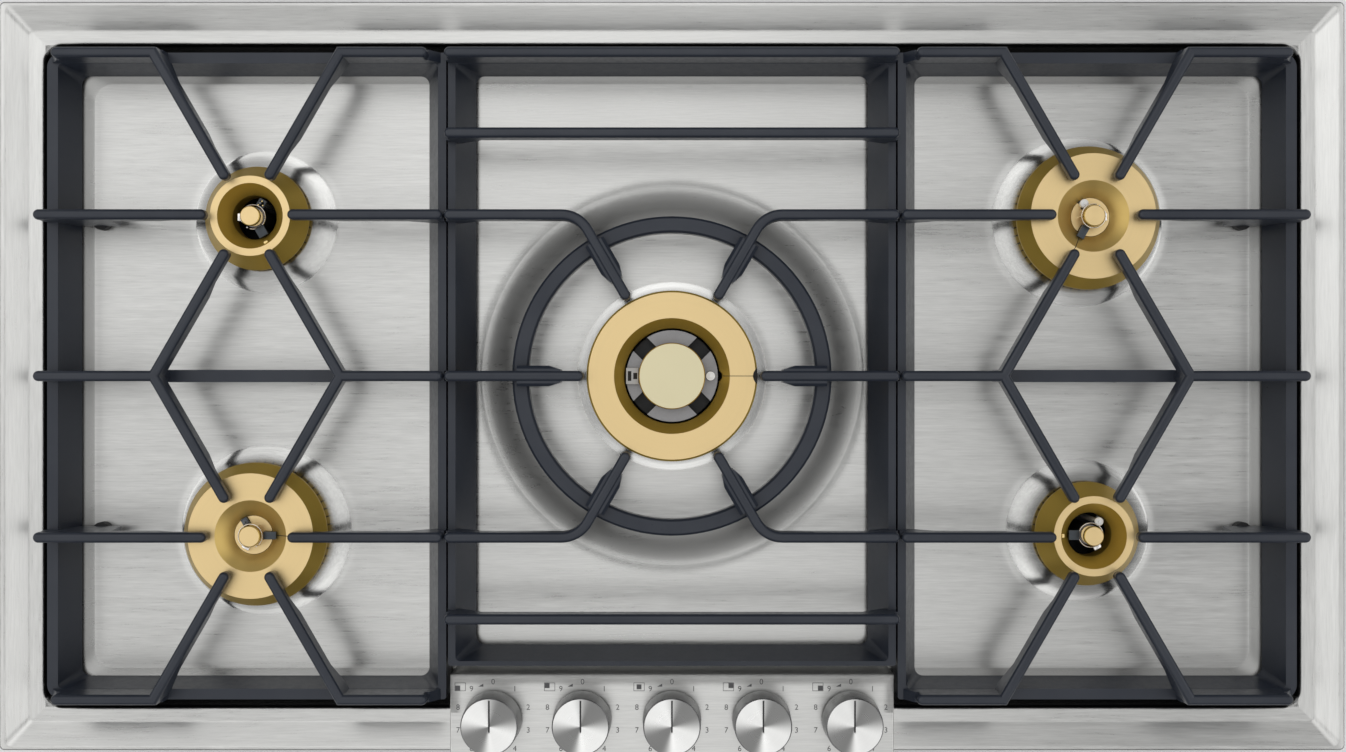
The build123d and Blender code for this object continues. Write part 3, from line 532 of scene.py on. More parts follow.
@dataclass(frozen=True)
class GalvanisedSheet:
    """Zinc-coated sheet with faint crystal flakes."""

    name: str
    colour: Colour = (0.50, 0.52, 0.53)
    roughness: float = 0.42
    flake: float = 90.0
    grain: Noise = (700.0, 3.0)
    relief: Relief = (0.25, 0.02)

    def build(self) -> Material:
        """Write the material.

        Returns:
            The material.
        """
        recipe = Recipe(self.name)
        cells = recipe.node("ShaderNodeTexVoronoi", {"Vector": recipe.point, "Scale": self.flake})
        tone = recipe.split(cells.outputs["Color"])[0]
        return recipe.finish(
            Base_Color=recipe.tint(self.colour, tone, 0.14),
            Metallic=1.0,
            Roughness=recipe.spread(tone, 0.0, 1.0, self.roughness - 0.06, self.roughness + 0.10),
            Normal=recipe.bump(recipe.noise(*self.grain), *self.relief),
        )


@dataclass(frozen=True)
class GrainedSolid:
    """Any evenly grained surface: rubber, foam, moulded plastic, ceramic, cast alloy or ink."""

    name: str
    colour: Colour
    roughness: float
    metallic: float = 0.0
    grain_size: float = 0.8
    grain_depth: float = 0.03
    coat: float = 0.0
    tone: float = 0.08  # how far the clouds are darker and lighter
    cloud: Noise = (40.0, 2.0)

    def build(self) -> Material:
        """Write the material.

        Returns:
            The material.
        """
        recipe = Recipe(self.name)
        grain = recipe.noise(1.0 / (self.grain_size * MM), 3.0)
        return recipe.finish(
            Base_Color=recipe.tint(self.colour, recipe.noise(*self.cloud), self.tone),
            Metallic=self.metallic,
            Roughness=recipe.swing(grain, self.roughness, 0.05, 0.06),
            Coat_Weight=self.coat,
            Coat_Roughness=0.12,
            Normal=recipe.bump(grain, 0.4, self.grain_depth),
        )


@dataclass(frozen=True)
class SootedAlloy:
    """Die-cast alloy, black below a height and bare grey on the lands above it."""

    name: str
    soot_line: float  # over the worktop
    bare: Colour = (0.30, 0.30, 0.31)
    soot: Colour = (0.010, 0.012, 0.015)
    roughness: float = 0.48
    metallic: float = 0.8  # of the bare alloy
    grain: Noise = (1400.0, 3.0)
    cloud: Noise = (120.0, 3.0)
    line_sway: float = 0.6
    line_fade: float = 0.4
    relief: Relief = (0.35, 0.03)

    def build(self) -> Material:
        """Write the material.

        Returns:
            The material.
        """
        recipe = Recipe(self.name)
        grain = recipe.noise(*self.grain)
        cloud = recipe.noise(*self.cloud)
        sway = recipe.math("SUBTRACT", cloud, 0.5)
        edge = recipe.math("MULTIPLY_ADD", sway, self.line_sway * MM, recipe.split(recipe.point)[2])
        line = self.soot_line + WORKTOP
        undarkened = recipe.spread(edge, (line - self.line_fade) * MM, (line + self.line_fade) * MM, 0.0, 1.0)
        return recipe.finish(
            Base_Color=recipe.mix(undarkened, self.soot, recipe.tint(self.bare, cloud, 0.12)),
            Metallic=recipe.product(undarkened, self.metallic),
            Roughness=recipe.swing(grain, self.roughness, 0.06, 0.10),
            Normal=recipe.bump(grain, *self.relief),
        )


@dataclass(frozen=True)
class SplitCeramic:
    """Glazed ceramic that is grey with use on one side of a line and still white on the other."""

    name: str
    line: float  # along x
    white: Colour = (0.86, 0.86, 0.85)
    used: Colour = (0.10, 0.115, 0.13)
    roughness: float = 0.22
    grain: Noise = (1200.0, 3.0)
    relief: Relief = (0.3, 0.01)

    def build(self) -> Material:
        """Write the material.

        Returns:
            The material.
        """
        recipe = Recipe(self.name)
        grain = recipe.noise(*self.grain)
        undarkened = recipe.spread(recipe.split(recipe.point)[0], self.line * MM, (self.line + 1.0) * MM, 0.0, 1.0)
        used, white = recipe.tint(self.used, grain, 0.2), recipe.tint(self.white, grain, 0.04)
        return recipe.finish(
            Base_Color=recipe.mix(undarkened, used, white),
            Roughness=recipe.swing(grain, self.roughness, 0.04, 0.06),
            Coat_Weight=0.4,
            Coat_Roughness=0.12,
            Normal=recipe.bump(grain, *self.relief),
        )


# ======== modelling helpers ========
def only(*pieces: Piece) -> None:
    """Select these objects alone, in object mode, and make the first of them active.

    Args:
        pieces: The objects. With none, nothing stays selected.
    """
    if bpy.context.object and bpy.context.object.mode != "OBJECT":
        bpy.ops.object.mode_set(mode="OBJECT")
    bpy.ops.object.select_all(action="DESELECT")
    for piece in pieces:
        piece.select_set(True)
    if pieces:
        bpy.context.view_layer.objects.active = pieces[0]


@contextmanager
def editing(piece: Piece, test: Callable[[Vector, Vector], bool] | None = None) -> Iterator[None]:
    """Work on a piece in edit mode, with the faces selected that pass a test.

    Args:
        piece: The mesh object.
        test: Told each face's centre and normal, in the mesh's own space. None selects all.

    Returns:
        The stretch in edit mode.
    """
    only(piece)
    mesh = piece.data
    for item in (*mesh.vertices, *mesh.edges):
        item.select = test is None
    for face in mesh.polygons:
        face.select = test is None or test(face.center, face.normal)
    bpy.ops.object.mode_set(mode="EDIT")
    bpy.ops.mesh.select_mode(type="FACE")
    yield
    bpy.ops.object.mode_set(mode="OBJECT")


def draw_out(move: Vector) -> None:
    """Extrude what is selected in edit mode."""
    bpy.ops.mesh.extrude_region_move(TRANSFORM_OT_translate={"value": tuple(move)})


def face_outward(merge: bool) -> None:
    """Turn every face of the mesh in edit mode outward.

    Args:
        merge: Merge its double points first.
    """
    bpy.ops.mesh.select_all(action="SELECT")
    if merge:
        bpy.ops.mesh.remove_doubles(threshold=DOUBLES * MM)
    bpy.ops.mesh.normals_make_consistent(inside=False)


def finish_piece(piece: Piece, name: str, body: str, material: Material) -> None:
    """Settle a new piece: place in its mesh, smooth shading, material and body.

    Args:
        piece: The modelled object.
        name: Its name, for the object and its mesh.
        body: The body that it rides on.
        material: Its finish.
    """
    only(piece)
    bpy.ops.object.transform_apply(location=True, rotation=True, scale=True)
    bpy.ops.object.shade_smooth_by_angle(angle=radians(SHARP_EDGE))
    piece.name = piece.data.name = name
    piece.data.materials.clear()
    piece.data.materials.append(material)
    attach(piece, body)
    log.info("built %s on %s in %s", name, body, material.name)


def copy_to(piece: Piece, along: float = 0.0) -> Piece:
    """Copy an unfinished piece, mesh and all.

    Args:
        piece: The piece.
        along: How far along x the copy is moved.

    Returns:
        The copy.
    """
    copy = piece.copy()
    copy.data = piece.data.copy()
    bpy.context.collection.objects.link(copy)
    copy.location.x += along * MM
    return copy


def join_all(pieces: list[Piece]) -> Piece:
    """Join meshes into one.

    Args:
        pieces: The meshes.

    Returns:
        The first of them, with the others in it.
    """
    only(*pieces)
    bpy.ops.object.join()
    return pieces[0]


def rounded_block(size: Size, centre: Vector, turn: float, edge: float) -> Piece:
    """A small block with bevelled edges.

    Args:
        size: Length, width and height.
        centre: Its middle, in metres.
        turn: Its turn about the upright, in degrees.
        edge: The bevel's width.

    Returns:
        The block.
    """
    only()
    bpy.ops.mesh.primitive_cube_add(size=1.0, location=centre, rotation=(0.0, 0.0, radians(turn)))
    block = bpy.context.object
    block.scale = tuple(v * MM for v in size)
    bpy.ops.object.transform_apply(location=False, rotation=False, scale=True)
    with editing(block):
        bpy.ops.mesh.bevel(offset=edge * MM, segments=2, affect="EDGES")
    return block


def turned_piece(profile: list[Spot], spot: Spot, sides: int) -> Piece:
    """A turned shape: a disc is drawn out ring by ring along a profile.

    Args:
        profile: (radius, height) points, from the first ring to the last.
        spot: The axis.
        sides: Sides round the axis.

    Returns:
        The shape.
    """
    only()
    (radius, height), *points = profile
    bpy.ops.mesh.primitive_circle_add(
        vertices=sides, radius=radius * MM, fill_type="NGON", location=place(*spot, height)
    )
    piece = bpy.context.object
    with editing(piece):
        for next_radius, next_height in points:
            draw_out(Vector((0.0, 0.0, (next_height - height) * MM)))
            share = next_radius / radius
            bpy.ops.transform.resize(value=(share, share, 1.0), center_override=piece.location)
            radius, height = next_radius, next_height
        face_outward(merge=True)
    return piece


def rod(radius: float, low: float, high: float, spot: Spot, sides: int = WIRE_SIDES) -> Piece:
    """An upright round rod between two heights."""
    return turned_piece([(radius, low), (radius, high)], spot, sides)


def drawn_strip(spot: Spot, angle: float, outline: Sequence[Spot], width: float, thickness: float) -> Piece:
    """A thin flat strip that runs outward from an axis along an outline.

    Args:
        spot: The axis.
        angle: The direction outward, in degrees.
        outline: (radius, height) points along the strip's middle.
        width: Its width.
        thickness: Its upright thickness.

    Returns:
        The strip.
    """
    points = [place(*polar(spot, angle, radius), height) for radius, height in outline]
    only()
    bpy.ops.mesh.primitive_plane_add(
        size=1.0, location=points[0], rotation=(radians(90.0), 0.0, radians(angle + 90.0))
    )
    strip = bpy.context.object
    strip.scale = (width * MM, thickness * MM, 1.0)
    bpy.ops.object.transform_apply(location=False, rotation=True, scale=True)
    with editing(strip):
        for start, end in zip(points, points[1:]):
            draw_out(end - start)
        face_outward(merge=False)
    return strip


def wire_hoop(spot: Spot, radius: float, height: float, wire: float, start: float, sweep: float) -> Piece:
    """Round wire bent to an arc about an upright axis.

    Args:
        spot: The axis.
        radius: The arc's radius.
        height: The wire's middle over the worktop.
        wire: The wire's own radius.
        start: Where the arc starts, in degrees.
        sweep: How far it goes round, in degrees.

    Returns:
        The wire.
    """
    only()
    bpy.ops.mesh.primitive_circle_add(
        vertices=WIRE_SIDES, radius=wire * MM, location=place(*polar(spot, start, radius), height),
        rotation=(radians(90.0), 0.0, radians(start)),
    )
    hoop = bpy.context.object
    bpy.ops.object.transform_apply(location=True, rotation=True, scale=True)
    closed = sweep >= 360.0
    with editing(hoop):
        bpy.ops.mesh.select_all(action="SELECT")
        bpy.ops.mesh.spin(
            steps=round(sweep / 8), angle=radians(sweep), center=place(*spot, height), axis=(0.0, 0.0, 1.0)
        )
        bpy.ops.mesh.select_all(action="SELECT")
        if not closed:
            bpy.ops.mesh.fill_holes(sides=WIRE_SIDES)
        face_outward(merge=closed)
    return hoop


def turned_copies(piece: Piece, spot: Spot, count: int) -> list[Piece]:
    """A piece and its copies, evenly spaced round an upright axis.

    Args:
        piece: The first one, unfinished.
        spot: The axis.
        count: How many there are in all.

    Returns:
        All of them, each with its own mesh.
    """
    axis = Matrix.Translation(place(*spot, 0.0))
    copies = [piece]
    for number in range(1, count):
        turn = axis @ Matrix.Rotation(2 * pi * number / count, 4, "Z") @ axis.inverted()
        copies.append(copy_to(piece))
        copies[-1].matrix_world = turn @ piece.matrix_world
    return copies


def dress(nodes: list[str], material: Material) -> None:
    """Give CAD nodes a finish.

    Args:
        nodes: The nodes' names.
        material: The finish.
    """
    for node in nodes:
        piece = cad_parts[node]
        if not piece.material_slots:
            piece.data.materials.append(material)
        for slot in piece.material_slots:
            slot.material = material
        log.info("dressed %s in %s", node, material.name)


# ======== burners ========
class BurnerSize(Enum):
    """The three burner sizes."""

    SMALL = "small"
    LARGE = "large"
    WOK = "wok"


@dataclass(frozen=True)
class Burner:
    """One burner's place, size and the angles of what stands in its middle."""

    name: str
    size: BurnerSize
    spot: Spot
    electrode: float
    sensor: float
    clip: float
    collar: float
    white_collar: bool = False  # a white ceramic collar stands round the electrode
    collar_slope: float = 7.0

    @property
    def foot(self) -> float:
        """The collar's radius at its foot."""
        return self.collar + self.collar_slope

    @property
    def spring_body(self) -> str:
        """The body that carries the cap's spring wire: on the large burners it lifts out with the cap."""
        return f"cap_{self.name}" if self.size is BurnerSize.LARGE else "cooktop"


BURNERS = (
    Burner("left_rear", BurnerSize.SMALL, (-282.3, 107.2), 60, 300, 180, 42.4),
    Burner("left_front", BurnerSize.LARGE, (-282.3, -107.2), 120, 0, 240, 52.0),
    Burner("centre", BurnerSize.WOK, (0.0, 0.0), 0, 180, 180, 59.0),
    Burner("right_rear", BurnerSize.LARGE, (282.3, 107.2), 120, 240, 0, 52.0, True),
    Burner("right_front", BurnerSize.SMALL, (282.3, -107.2), 60, 180, 300, 42.4, True),
)


@dataclass(frozen=True)
class SensorHead:
    """The cover of a flame sensor: its reach from the burner's axis, its width and its heights."""

    start: float
    end: float
    width: float
    foot: float
    top: float


@dataclass(frozen=True)
class BurnerForm:
    """What the fittings of one burner size need to know."""

    reach: float  # of the electrode and the sensor from the axis
    ledge: float  # height of what the small parts stand on
    wire: Spot | None  # spring wire round the cap: radius and height
    head: SensorHead
    holder: Size  # round the electrode: outward, across, high
    undercut: tuple[Spot, Spot]  # the ring's undercut, from foot to edge
    ports: int
    groove: tuple[Spot, ...]  # fine line outward over the ring, along its surface


FORMS = {
    BurnerSize.LARGE: BurnerForm(
        reach=10.2, ledge=19.0, wire=(7.95, 27.2), head=SensorHead(7.6, 16.3, 5.2, 21.0, 24.3),
        holder=(5.6, 4.6, 2.0), undercut=((46.0, 6.0), (48.5, 12.5)), ports=54,
        groove=((16.4, 21.4), (24.0, 27.0), (30.5, 27.0)),
    ),
    BurnerSize.SMALL: BurnerForm(
        reach=10.6, ledge=17.0, wire=(8.1, 20.6), head=SensorHead(7.7, 14.9, 6.6, 19.0, 21.3),
        holder=(6.0, 5.4, 2.6), undercut=((33.5, 6.0), (35.3, 9.5)), ports=40, groove=(),
    ),
    BurnerSize.WOK: BurnerForm(
        reach=26.0, ledge=15.0, wire=None, head=SensorHead(22.6, 31.0, 11.0, 14.0, 19.4),
        holder=(8.0, 9.0, 1.6), undercut=((54.0, 6.0), (57.2, 13.0)), ports=72,
        groove=((34.4, 20.3), (38.8, 27.0), (55.8, 27.0)),
    ),
}


@dataclass
class BurnerFittings:
    """The ring and cap of one burner, and the small parts in its middle."""

    burner: Burner
    form: BurnerForm
    finishes: dict[str, Material]
    brass: Colour = (0.76, 0.58, 0.30)
    # painted shade on the brass slopes
    brass_slope: Colour = (0.50, 0.335, 0.055)
    wok_cap: Colour = (0.69, 0.63, 0.42)
    edge: float = 0.35  # bevel of the small parts
    proud: float = 0.06  # how far inlaid dark marks stand over the surface
    windows: tuple[tuple[float, Size], ...] = ((2.4, (2.4, 6.6, 0.3)), (6.2, (2.6, 4.2, 0.3)))  # inward, size
    port: Spot = (0.9, 0.5)  # width and thickness
    port_span: Span = (0.15, 0.85)  # of the undercut's run
    line_width: float = 0.45
    stud: Size = (2.4, 3.2, 1.8)  # gilt stud where a sensor crosses the cone
    stud_spot: Spot = (20.3, 25.4)  # from the axis, and height
    stud_edge: float = 0.8
    wire: float = 0.42  # radius of the spring wire
    wire_gap: float = 25.0  # degrees to either side of the clip
    legs: int = 3
    leg_turn: float = 60.0  # from the clip to the first leg
    holder_rise: float = 0.4  # over the ledge
    collar: tuple[Spot, ...] = ((2.7, 0.0), (2.9, 0.6), (2.9, 4.4), (2.3, 5.0))  # radius, rise over the ledge
    collar_sides: int = 24
    ring: Size = (1.5, 0.35, 0.2)  # bright ring: radius, wire, rise
    pin: Size = (0.45, 0.9, 0.5)  # radius, height and depth of the gilt pins
    pin_spots: tuple[Spot, ...] = ((150.0, 2.1), (0.0, 1.6), (-110.0, 2.0))  # angle and reach
    clip: Size = (3.6, 5.4, 2.6)  # bright clip: outward, across, high
    clip_edge: float = 0.6
    clip_rise: float = 0.3
    clip_overlap: float = 0.8  # under the wire
    notch: Size = (6.6, 60.9, 12.0)  # flame notch: radius, from the axis, depth below the top
    notch_edge: float = 57.25
    notch_sides: tuple[int, int] = (192, 64)  # round the burner, round the notch
    wok_top: float = 27.0

    def build(self) -> None:
        """Dress the burner and add its fittings."""
        self.dress_brass()
        self.add_head()
        self.add_ports()
        if self.form.groove:
            self.add_line()
        else:
            self.add_stud()
        if self.form.wire:
            self.add_spring()
            self.add_holder()
            self.add_clip()
        else:
            self.add_notch()

    def at(self, angle: float, reach: float) -> Spot:
        """The place at an angle and a distance from the burner's axis."""
        return polar(self.burner.spot, angle, reach)

    def fit(self, piece: Piece, name: str, finish: str,
            body: str = "cooktop") -> None:
        """Finish a fitting in one of the shared finishes."""
        finish_piece(piece, name.format(self.burner.name), body, self.finishes[finish])

    def dress_brass(self) -> None:
        """Give the ring and the cap their turned brass, with painted shade on their slopes."""
        name, spot = self.burner.name, self.burner.spot
        ring = SpunMetal(
            f"turned_brass_{name}", self.brass, spot, roughness=0.38, anisotropy=0.2, ring_depth=0.004,
            ring_tint=0.05, slope=self.brass_slope, dull=0.35,
        )
        cap = SpunMetal(
            f"turned_cap_{name}", self.wok_cap if self.burner.size is BurnerSize.WOK else self.brass, spot,
            roughness=0.42, anisotropy=0.2, ring_depth=0.003, ring_tint=0.03, slope=self.brass_slope,
        )
        dress([f"burner_ring_{name}"], ring.build())
        dress([f"burner_cap_{name}"], cap.build())

    def add_head(self) -> None:
        """Cover the flame sensor, with two shallow windows on the wok burner's grey bracket."""
        head, turn = self.form.head, self.burner.sensor
        middle = place(*self.at(turn, (head.start + head.end) / 2), (head.foot + head.top) / 2)
        size = (head.end - head.start, head.width, head.top - head.foot)
        block = rounded_block(size, middle, turn, self.edge)
        wok = self.burner.size is BurnerSize.WOK
        self.fit(block, "sensor_cover_{}", "grey_bracket" if wok else "heat_darkened_steel")
        if wok:
            windows = [
                rounded_block(size, place(*self.at(turn, head.end - inward), head.top), turn, 0.1)
                for inward, size in self.windows
            ]
            self.fit(join_all(windows), "sensor_windows", "soot_black")

    def add_ports(self) -> None:
        """Put the flame slots round the ring's undercut, as black strips of painted shade."""
        (foot, low), (edge, high) = self.form.undercut
        outline = [(foot + (edge - foot) * t + self.proud, low + (high - low) * t) for t in self.port_span]
        first = drawn_strip(self.burner.spot, 0.0, outline, *self.port)
        slots = join_all(turned_copies(first, self.burner.spot, self.form.ports))
        self.fit(slots, "flame_slots_{}", "soot_black")

    def add_line(self) -> None:
        """Draw the fine line that runs outward over the ring."""
        wok = self.burner.size is BurnerSize.WOK
        angle = self.burner.electrode if wok else self.burner.sensor
        line = drawn_strip(self.burner.spot, angle, self.form.groove, self.line_width, 2 * self.proud)
        self.fit(line, "sensor_line_{}", "soot_black")

    def add_stud(self) -> None:
        """Set the gilt stud where the sensor crosses the ring's cone."""
        reach, height = self.stud_spot
        turn = self.burner.sensor
        stud = rounded_block(self.stud, place(*self.at(turn, reach), height), turn, self.stud_edge)
        self.fit(stud, "sensor_stud_{}", "gilt_wire")

    def add_spring(self) -> None:
        """Bend the spring wire round the cap, on its legs."""
        radius, height = self.form.wire
        spot, clip = self.burner.spot, self.burner.clip
        hoop = wire_hoop(spot, radius, height, self.wire, clip + self.wire_gap, 360.0 - 2 * self.wire_gap)
        leg = rod(self.wire, self.form.ledge, height, self.at(clip + self.leg_turn, radius))
        spring = join_all([hoop, *turned_copies(leg, spot, self.legs)])
        self.fit(spring, "cap_spring_{}", "bright_spring_steel", body=self.burner.spring_body)

    def add_holder(self) -> None:
        """Hold the electrode in a dark block, with its gilt pins, its bright ring or its white collar."""
        size, turn, ledge = self.form.holder, self.burner.electrode, self.form.ledge
        spot = self.at(turn, self.form.reach)
        top = ledge + self.holder_rise + size[2]
        block = rounded_block(size, place(*spot, top - size[2] / 2), turn, self.edge)
        self.fit(block, "electrode_holder_{}", "heat_darkened_steel")
        if self.burner.white_collar:
            profile = [(radius, ledge + rise) for radius, rise in self.collar]
            collar = turned_piece(profile, spot, self.collar_sides)
            self.fit(collar, "electrode_collar_{}", "white_ceramic")
        elif self.burner.size is BurnerSize.LARGE:
            radius, wire, rise = self.ring
            ring = wire_hoop(spot, radius, top + rise, wire, 0.0, 360.0)
            self.fit(ring, "electrode_ring_{}", "bright_spring_steel")
        else:
            radius, high, deep = self.pin
            pins = [rod(radius, top - deep, top + high, polar(spot, turn + angle, reach))
                    for angle, reach in self.pin_spots]
            self.fit(join_all(pins), "electrode_pins_{}", "gilt_wire")

    def add_clip(self) -> None:
        """Set the small bright clip beside the cap."""
        spot = self.at(self.burner.clip, self.form.wire[0] + self.clip[0] / 2 - self.clip_overlap)
        middle = place(*spot, self.form.ledge + self.clip_rise + self.clip[2] / 2)
        clip = rounded_block(self.clip, middle, self.burner.clip, self.clip_edge)
        self.fit(clip, "cap_clip_{}", "bright_spring_steel", body=self.burner.spring_body)

    def add_notch(self) -> None:
        """Show the half-round flame notch in the wok ring's edge as a dark lens of painted shade, flush with
        the ring.
        """
        radius, reach, depth = self.notch
        round_burner, round_notch = self.notch_sides
        low, top = self.wok_top - depth, self.wok_top + self.proud
        lens = rod(self.notch_edge, low, top, self.burner.spot, round_burner)
        shape = rod(radius, low - 1.0, top + 1.0, self.at(self.burner.electrode, reach), round_notch)
        only(lens)
        step = lens.modifiers.new("shape", "BOOLEAN")
        step.operation = "INTERSECT"
        step.object = shape
        bpy.ops.object.modifier_apply(modifier=step.name)
        bpy.data.objects.remove(shape)
        self.fit(lens, "flame_notch", "soot_black")


@dataclass
class Burners:
    """The five burners: their cups, electrodes and sensors, and the fittings of each."""

    soot_height: float = 13.6  # the cups are black below this
    used_side: float = -100.0  # the electrodes left of this are grey with use

    def build(self) -> None:
        """Dress what the burners share, then fit each of them."""
        finishes = {finish.name: finish.build() for finish in (
            GrainedSolid("white_ceramic", (0.86, 0.86, 0.85), 0.18, grain_depth=0.01, coat=0.5),
            GrainedSolid("heat_darkened_steel", (0.045, 0.055, 0.066), 0.40, metallic=0.3),
            GrainedSolid("bright_spring_steel", (0.72, 0.70, 0.68), 0.22, metallic=1.0),
            GrainedSolid("gilt_wire", (0.70, 0.53, 0.24), 0.25, metallic=1.0),
            # black for the fine lines and the sensor windows, and painted shade for the flame slots and the
            # flame notch
            GrainedSolid("soot_black", (0.012, 0.011, 0.010), 0.8),
            GrainedSolid("grey_bracket", (0.46, 0.46, 0.46), 0.45, grain_depth=0.01),
        )}
        dress([f"burner_cup_{b.name}" for b in BURNERS], SootedAlloy("cast_alloy", self.soot_height).build())
        dress(["spark_electrodes"], SplitCeramic("electrode_ceramic", self.used_side).build())
        dress(["flame_sensors"], finishes["heat_darkened_steel"])
        for burner in BURNERS:
            BurnerFittings(burner, FORMS[burner.size], finishes).build()


# ======== studio ========
class Surroundings(Tree):
    """The world's node tree, made of lights."""

    def glow(self, level: object) -> Socket:
        """White light of one level."""
        return self.node("ShaderNodeBackground", {"Color": WHITE, "Strength": level}).outputs["Background"]

    def choose(self, factor: object, first: Socket, second: Socket) -> Socket:
        """One light where the factor is 0 and the other where it is 1."""
        return self.node("ShaderNodeMixShader", (factor, first, second)).outputs["Shader"]


@dataclass
class Studio:
    """Pale floor, soft surroundings, one broad lamp and the camera over the tray's middle."""

    camera_height: float = 1000.0  # over the worktop
    camera_x: float = 0.7
    focal_pixels: float = 1453.3
    image_width: float = 1346.0
    sensor: float = 36.0
    clip: Span = (0.05, 50.0)  # metres
    floor_size: float = 40.0  # metres
    floor_drop: float = 0.001  # metres under the casing
    floor_colour: Colour = (0.93, 0.93, 0.93)
    lamp_energy: float = 1.4
    lamp_place: Size = (-0.5, 0.7, 1.5)  # metres
    lamp_aim: Size = (0.0, 0.0, 0.05)
    lamp_size: Spot = (1.6, 1.0)
    room_level: float = 0.78  # of the light that dull surfaces get from all round
    side_level: float = 1.6  # of the sides, in what shines
    # What shines sees these steps: where they start, where they end, and their levels there
    horizon: tuple[float, ...] = (0.12, 0.55, 0.05, 0.85)
    front_and_back: tuple[float, ...] = (0.35, 0.85, 1.0, 0.30)
    sides: tuple[float, ...] = (0.395, 0.48, 0.0, 1.0)
    rim_lift: tuple[float, ...] = (0.195, 0.24, 1.0, 1.35)
    right_shade: tuple[float, ...] = (0.05, 0.36, 1.25, 0.50)
    left_shade: tuple[float, ...] = (-0.30, -0.03, 0.68, 1.0)
    front_dip: tuple[float, ...] = (0.0, 0.10, 0.66, 1.0)  # away from front_dip_y
    front_dip_y: float = -0.12

    def build(self) -> None:
        """Set the stage."""
        self.add_floor()
        self.add_surroundings()
        self.add_lamp()
        self.add_camera()
        bpy.context.scene.view_settings.view_transform = "Standard"

    def add_floor(self) -> None:
        """Lay the floor just under the casing."""
        only()
        bpy.ops.mesh.primitive_plane_add(size=self.floor_size, location=(0.0, 0.0, -self.floor_drop))
        floor = bpy.context.object
        floor.name = "floor"
        pale = Recipe("pale_floor")
        floor.data.materials.append(
            pale.finish(Base_Color=self.floor_colour, Roughness=0.85, Specular_IOR_Level=0.2)
        )

    def add_surroundings(self) -> None:
        """Light evenly from all round; what shines sees bright sides and a dark front, back and horizon."""
        world = bpy.data.worlds.new("soft_room")
        bpy.context.scene.world = world
        world.use_nodes = True
        world.node_tree.nodes.clear()
        sky = Surroundings(world.node_tree)
        x, y, z = sky.split(sky.node("ShaderNodeTexCoord").outputs["Generated"])
        aside, ahead = sky.math("ABSOLUTE", x), sky.math("ABSOLUTE", y)
        off_dip = sky.math("ABSOLUTE", sky.math("SUBTRACT", y, self.front_dip_y))
        steps = {self.right_shade: x, self.left_shade: x, self.front_dip: off_dip, self.rim_lift: ahead}
        overhead = sky.product(*(sky.spread(value, *step, soft=True) for step, value in steps.items()))
        wide = sky.spread(aside, *self.sides, soft=True)
        across = sky.spread(wide, 0.0, 1.0, overhead, self.side_level)
        high = sky.spread(z, *self.horizon, soft=True)
        deep = sky.spread(ahead, *self.front_and_back, soft=True)
        path = sky.node("ShaderNodeLightPath").outputs
        shiny = sky.math("MAXIMUM", path["Is Glossy Ray"], path["Is Transmission Ray"])
        around = sky.choose(shiny, sky.glow(self.room_level), sky.glow(sky.product(high, deep, across)))
        seen = sky.choose(path["Is Camera Ray"], around, sky.glow(1.0))
        sky.node("ShaderNodeOutputWorld", {"Surface": seen})

    def add_lamp(self) -> None:
        """Hang one broad lamp up behind the left side."""
        only()
        bpy.ops.object.light_add(type="AREA", location=self.lamp_place)
        lamp = bpy.context.object
        lamp.name = "broad_lamp"
        lamp.data.shape = "RECTANGLE"
        lamp.data.size, lamp.data.size_y = self.lamp_size
        lamp.data.energy = self.lamp_energy
        ray = Vector(self.lamp_aim) - Vector(self.lamp_place)
        lamp.rotation_euler = ray.to_track_quat("-Z", "Y").to_euler()

    def add_camera(self) -> None:
        """Look straight down on the tray, its back upward in the picture."""
        only()
        spot = place(self.camera_x, 0.0, self.camera_height)
        bpy.ops.object.camera_add(location=spot, rotation=(0.0, 0.0, 0.0))
        camera = bpy.context.object
        camera.name = "camera"
        camera.data.sensor_width = self.sensor
        camera.data.lens = self.sensor * self.focal_pixels / self.image_width
        camera.data.clip_start, camera.data.clip_end = self.clip
        bpy.context.scene.camera = camera


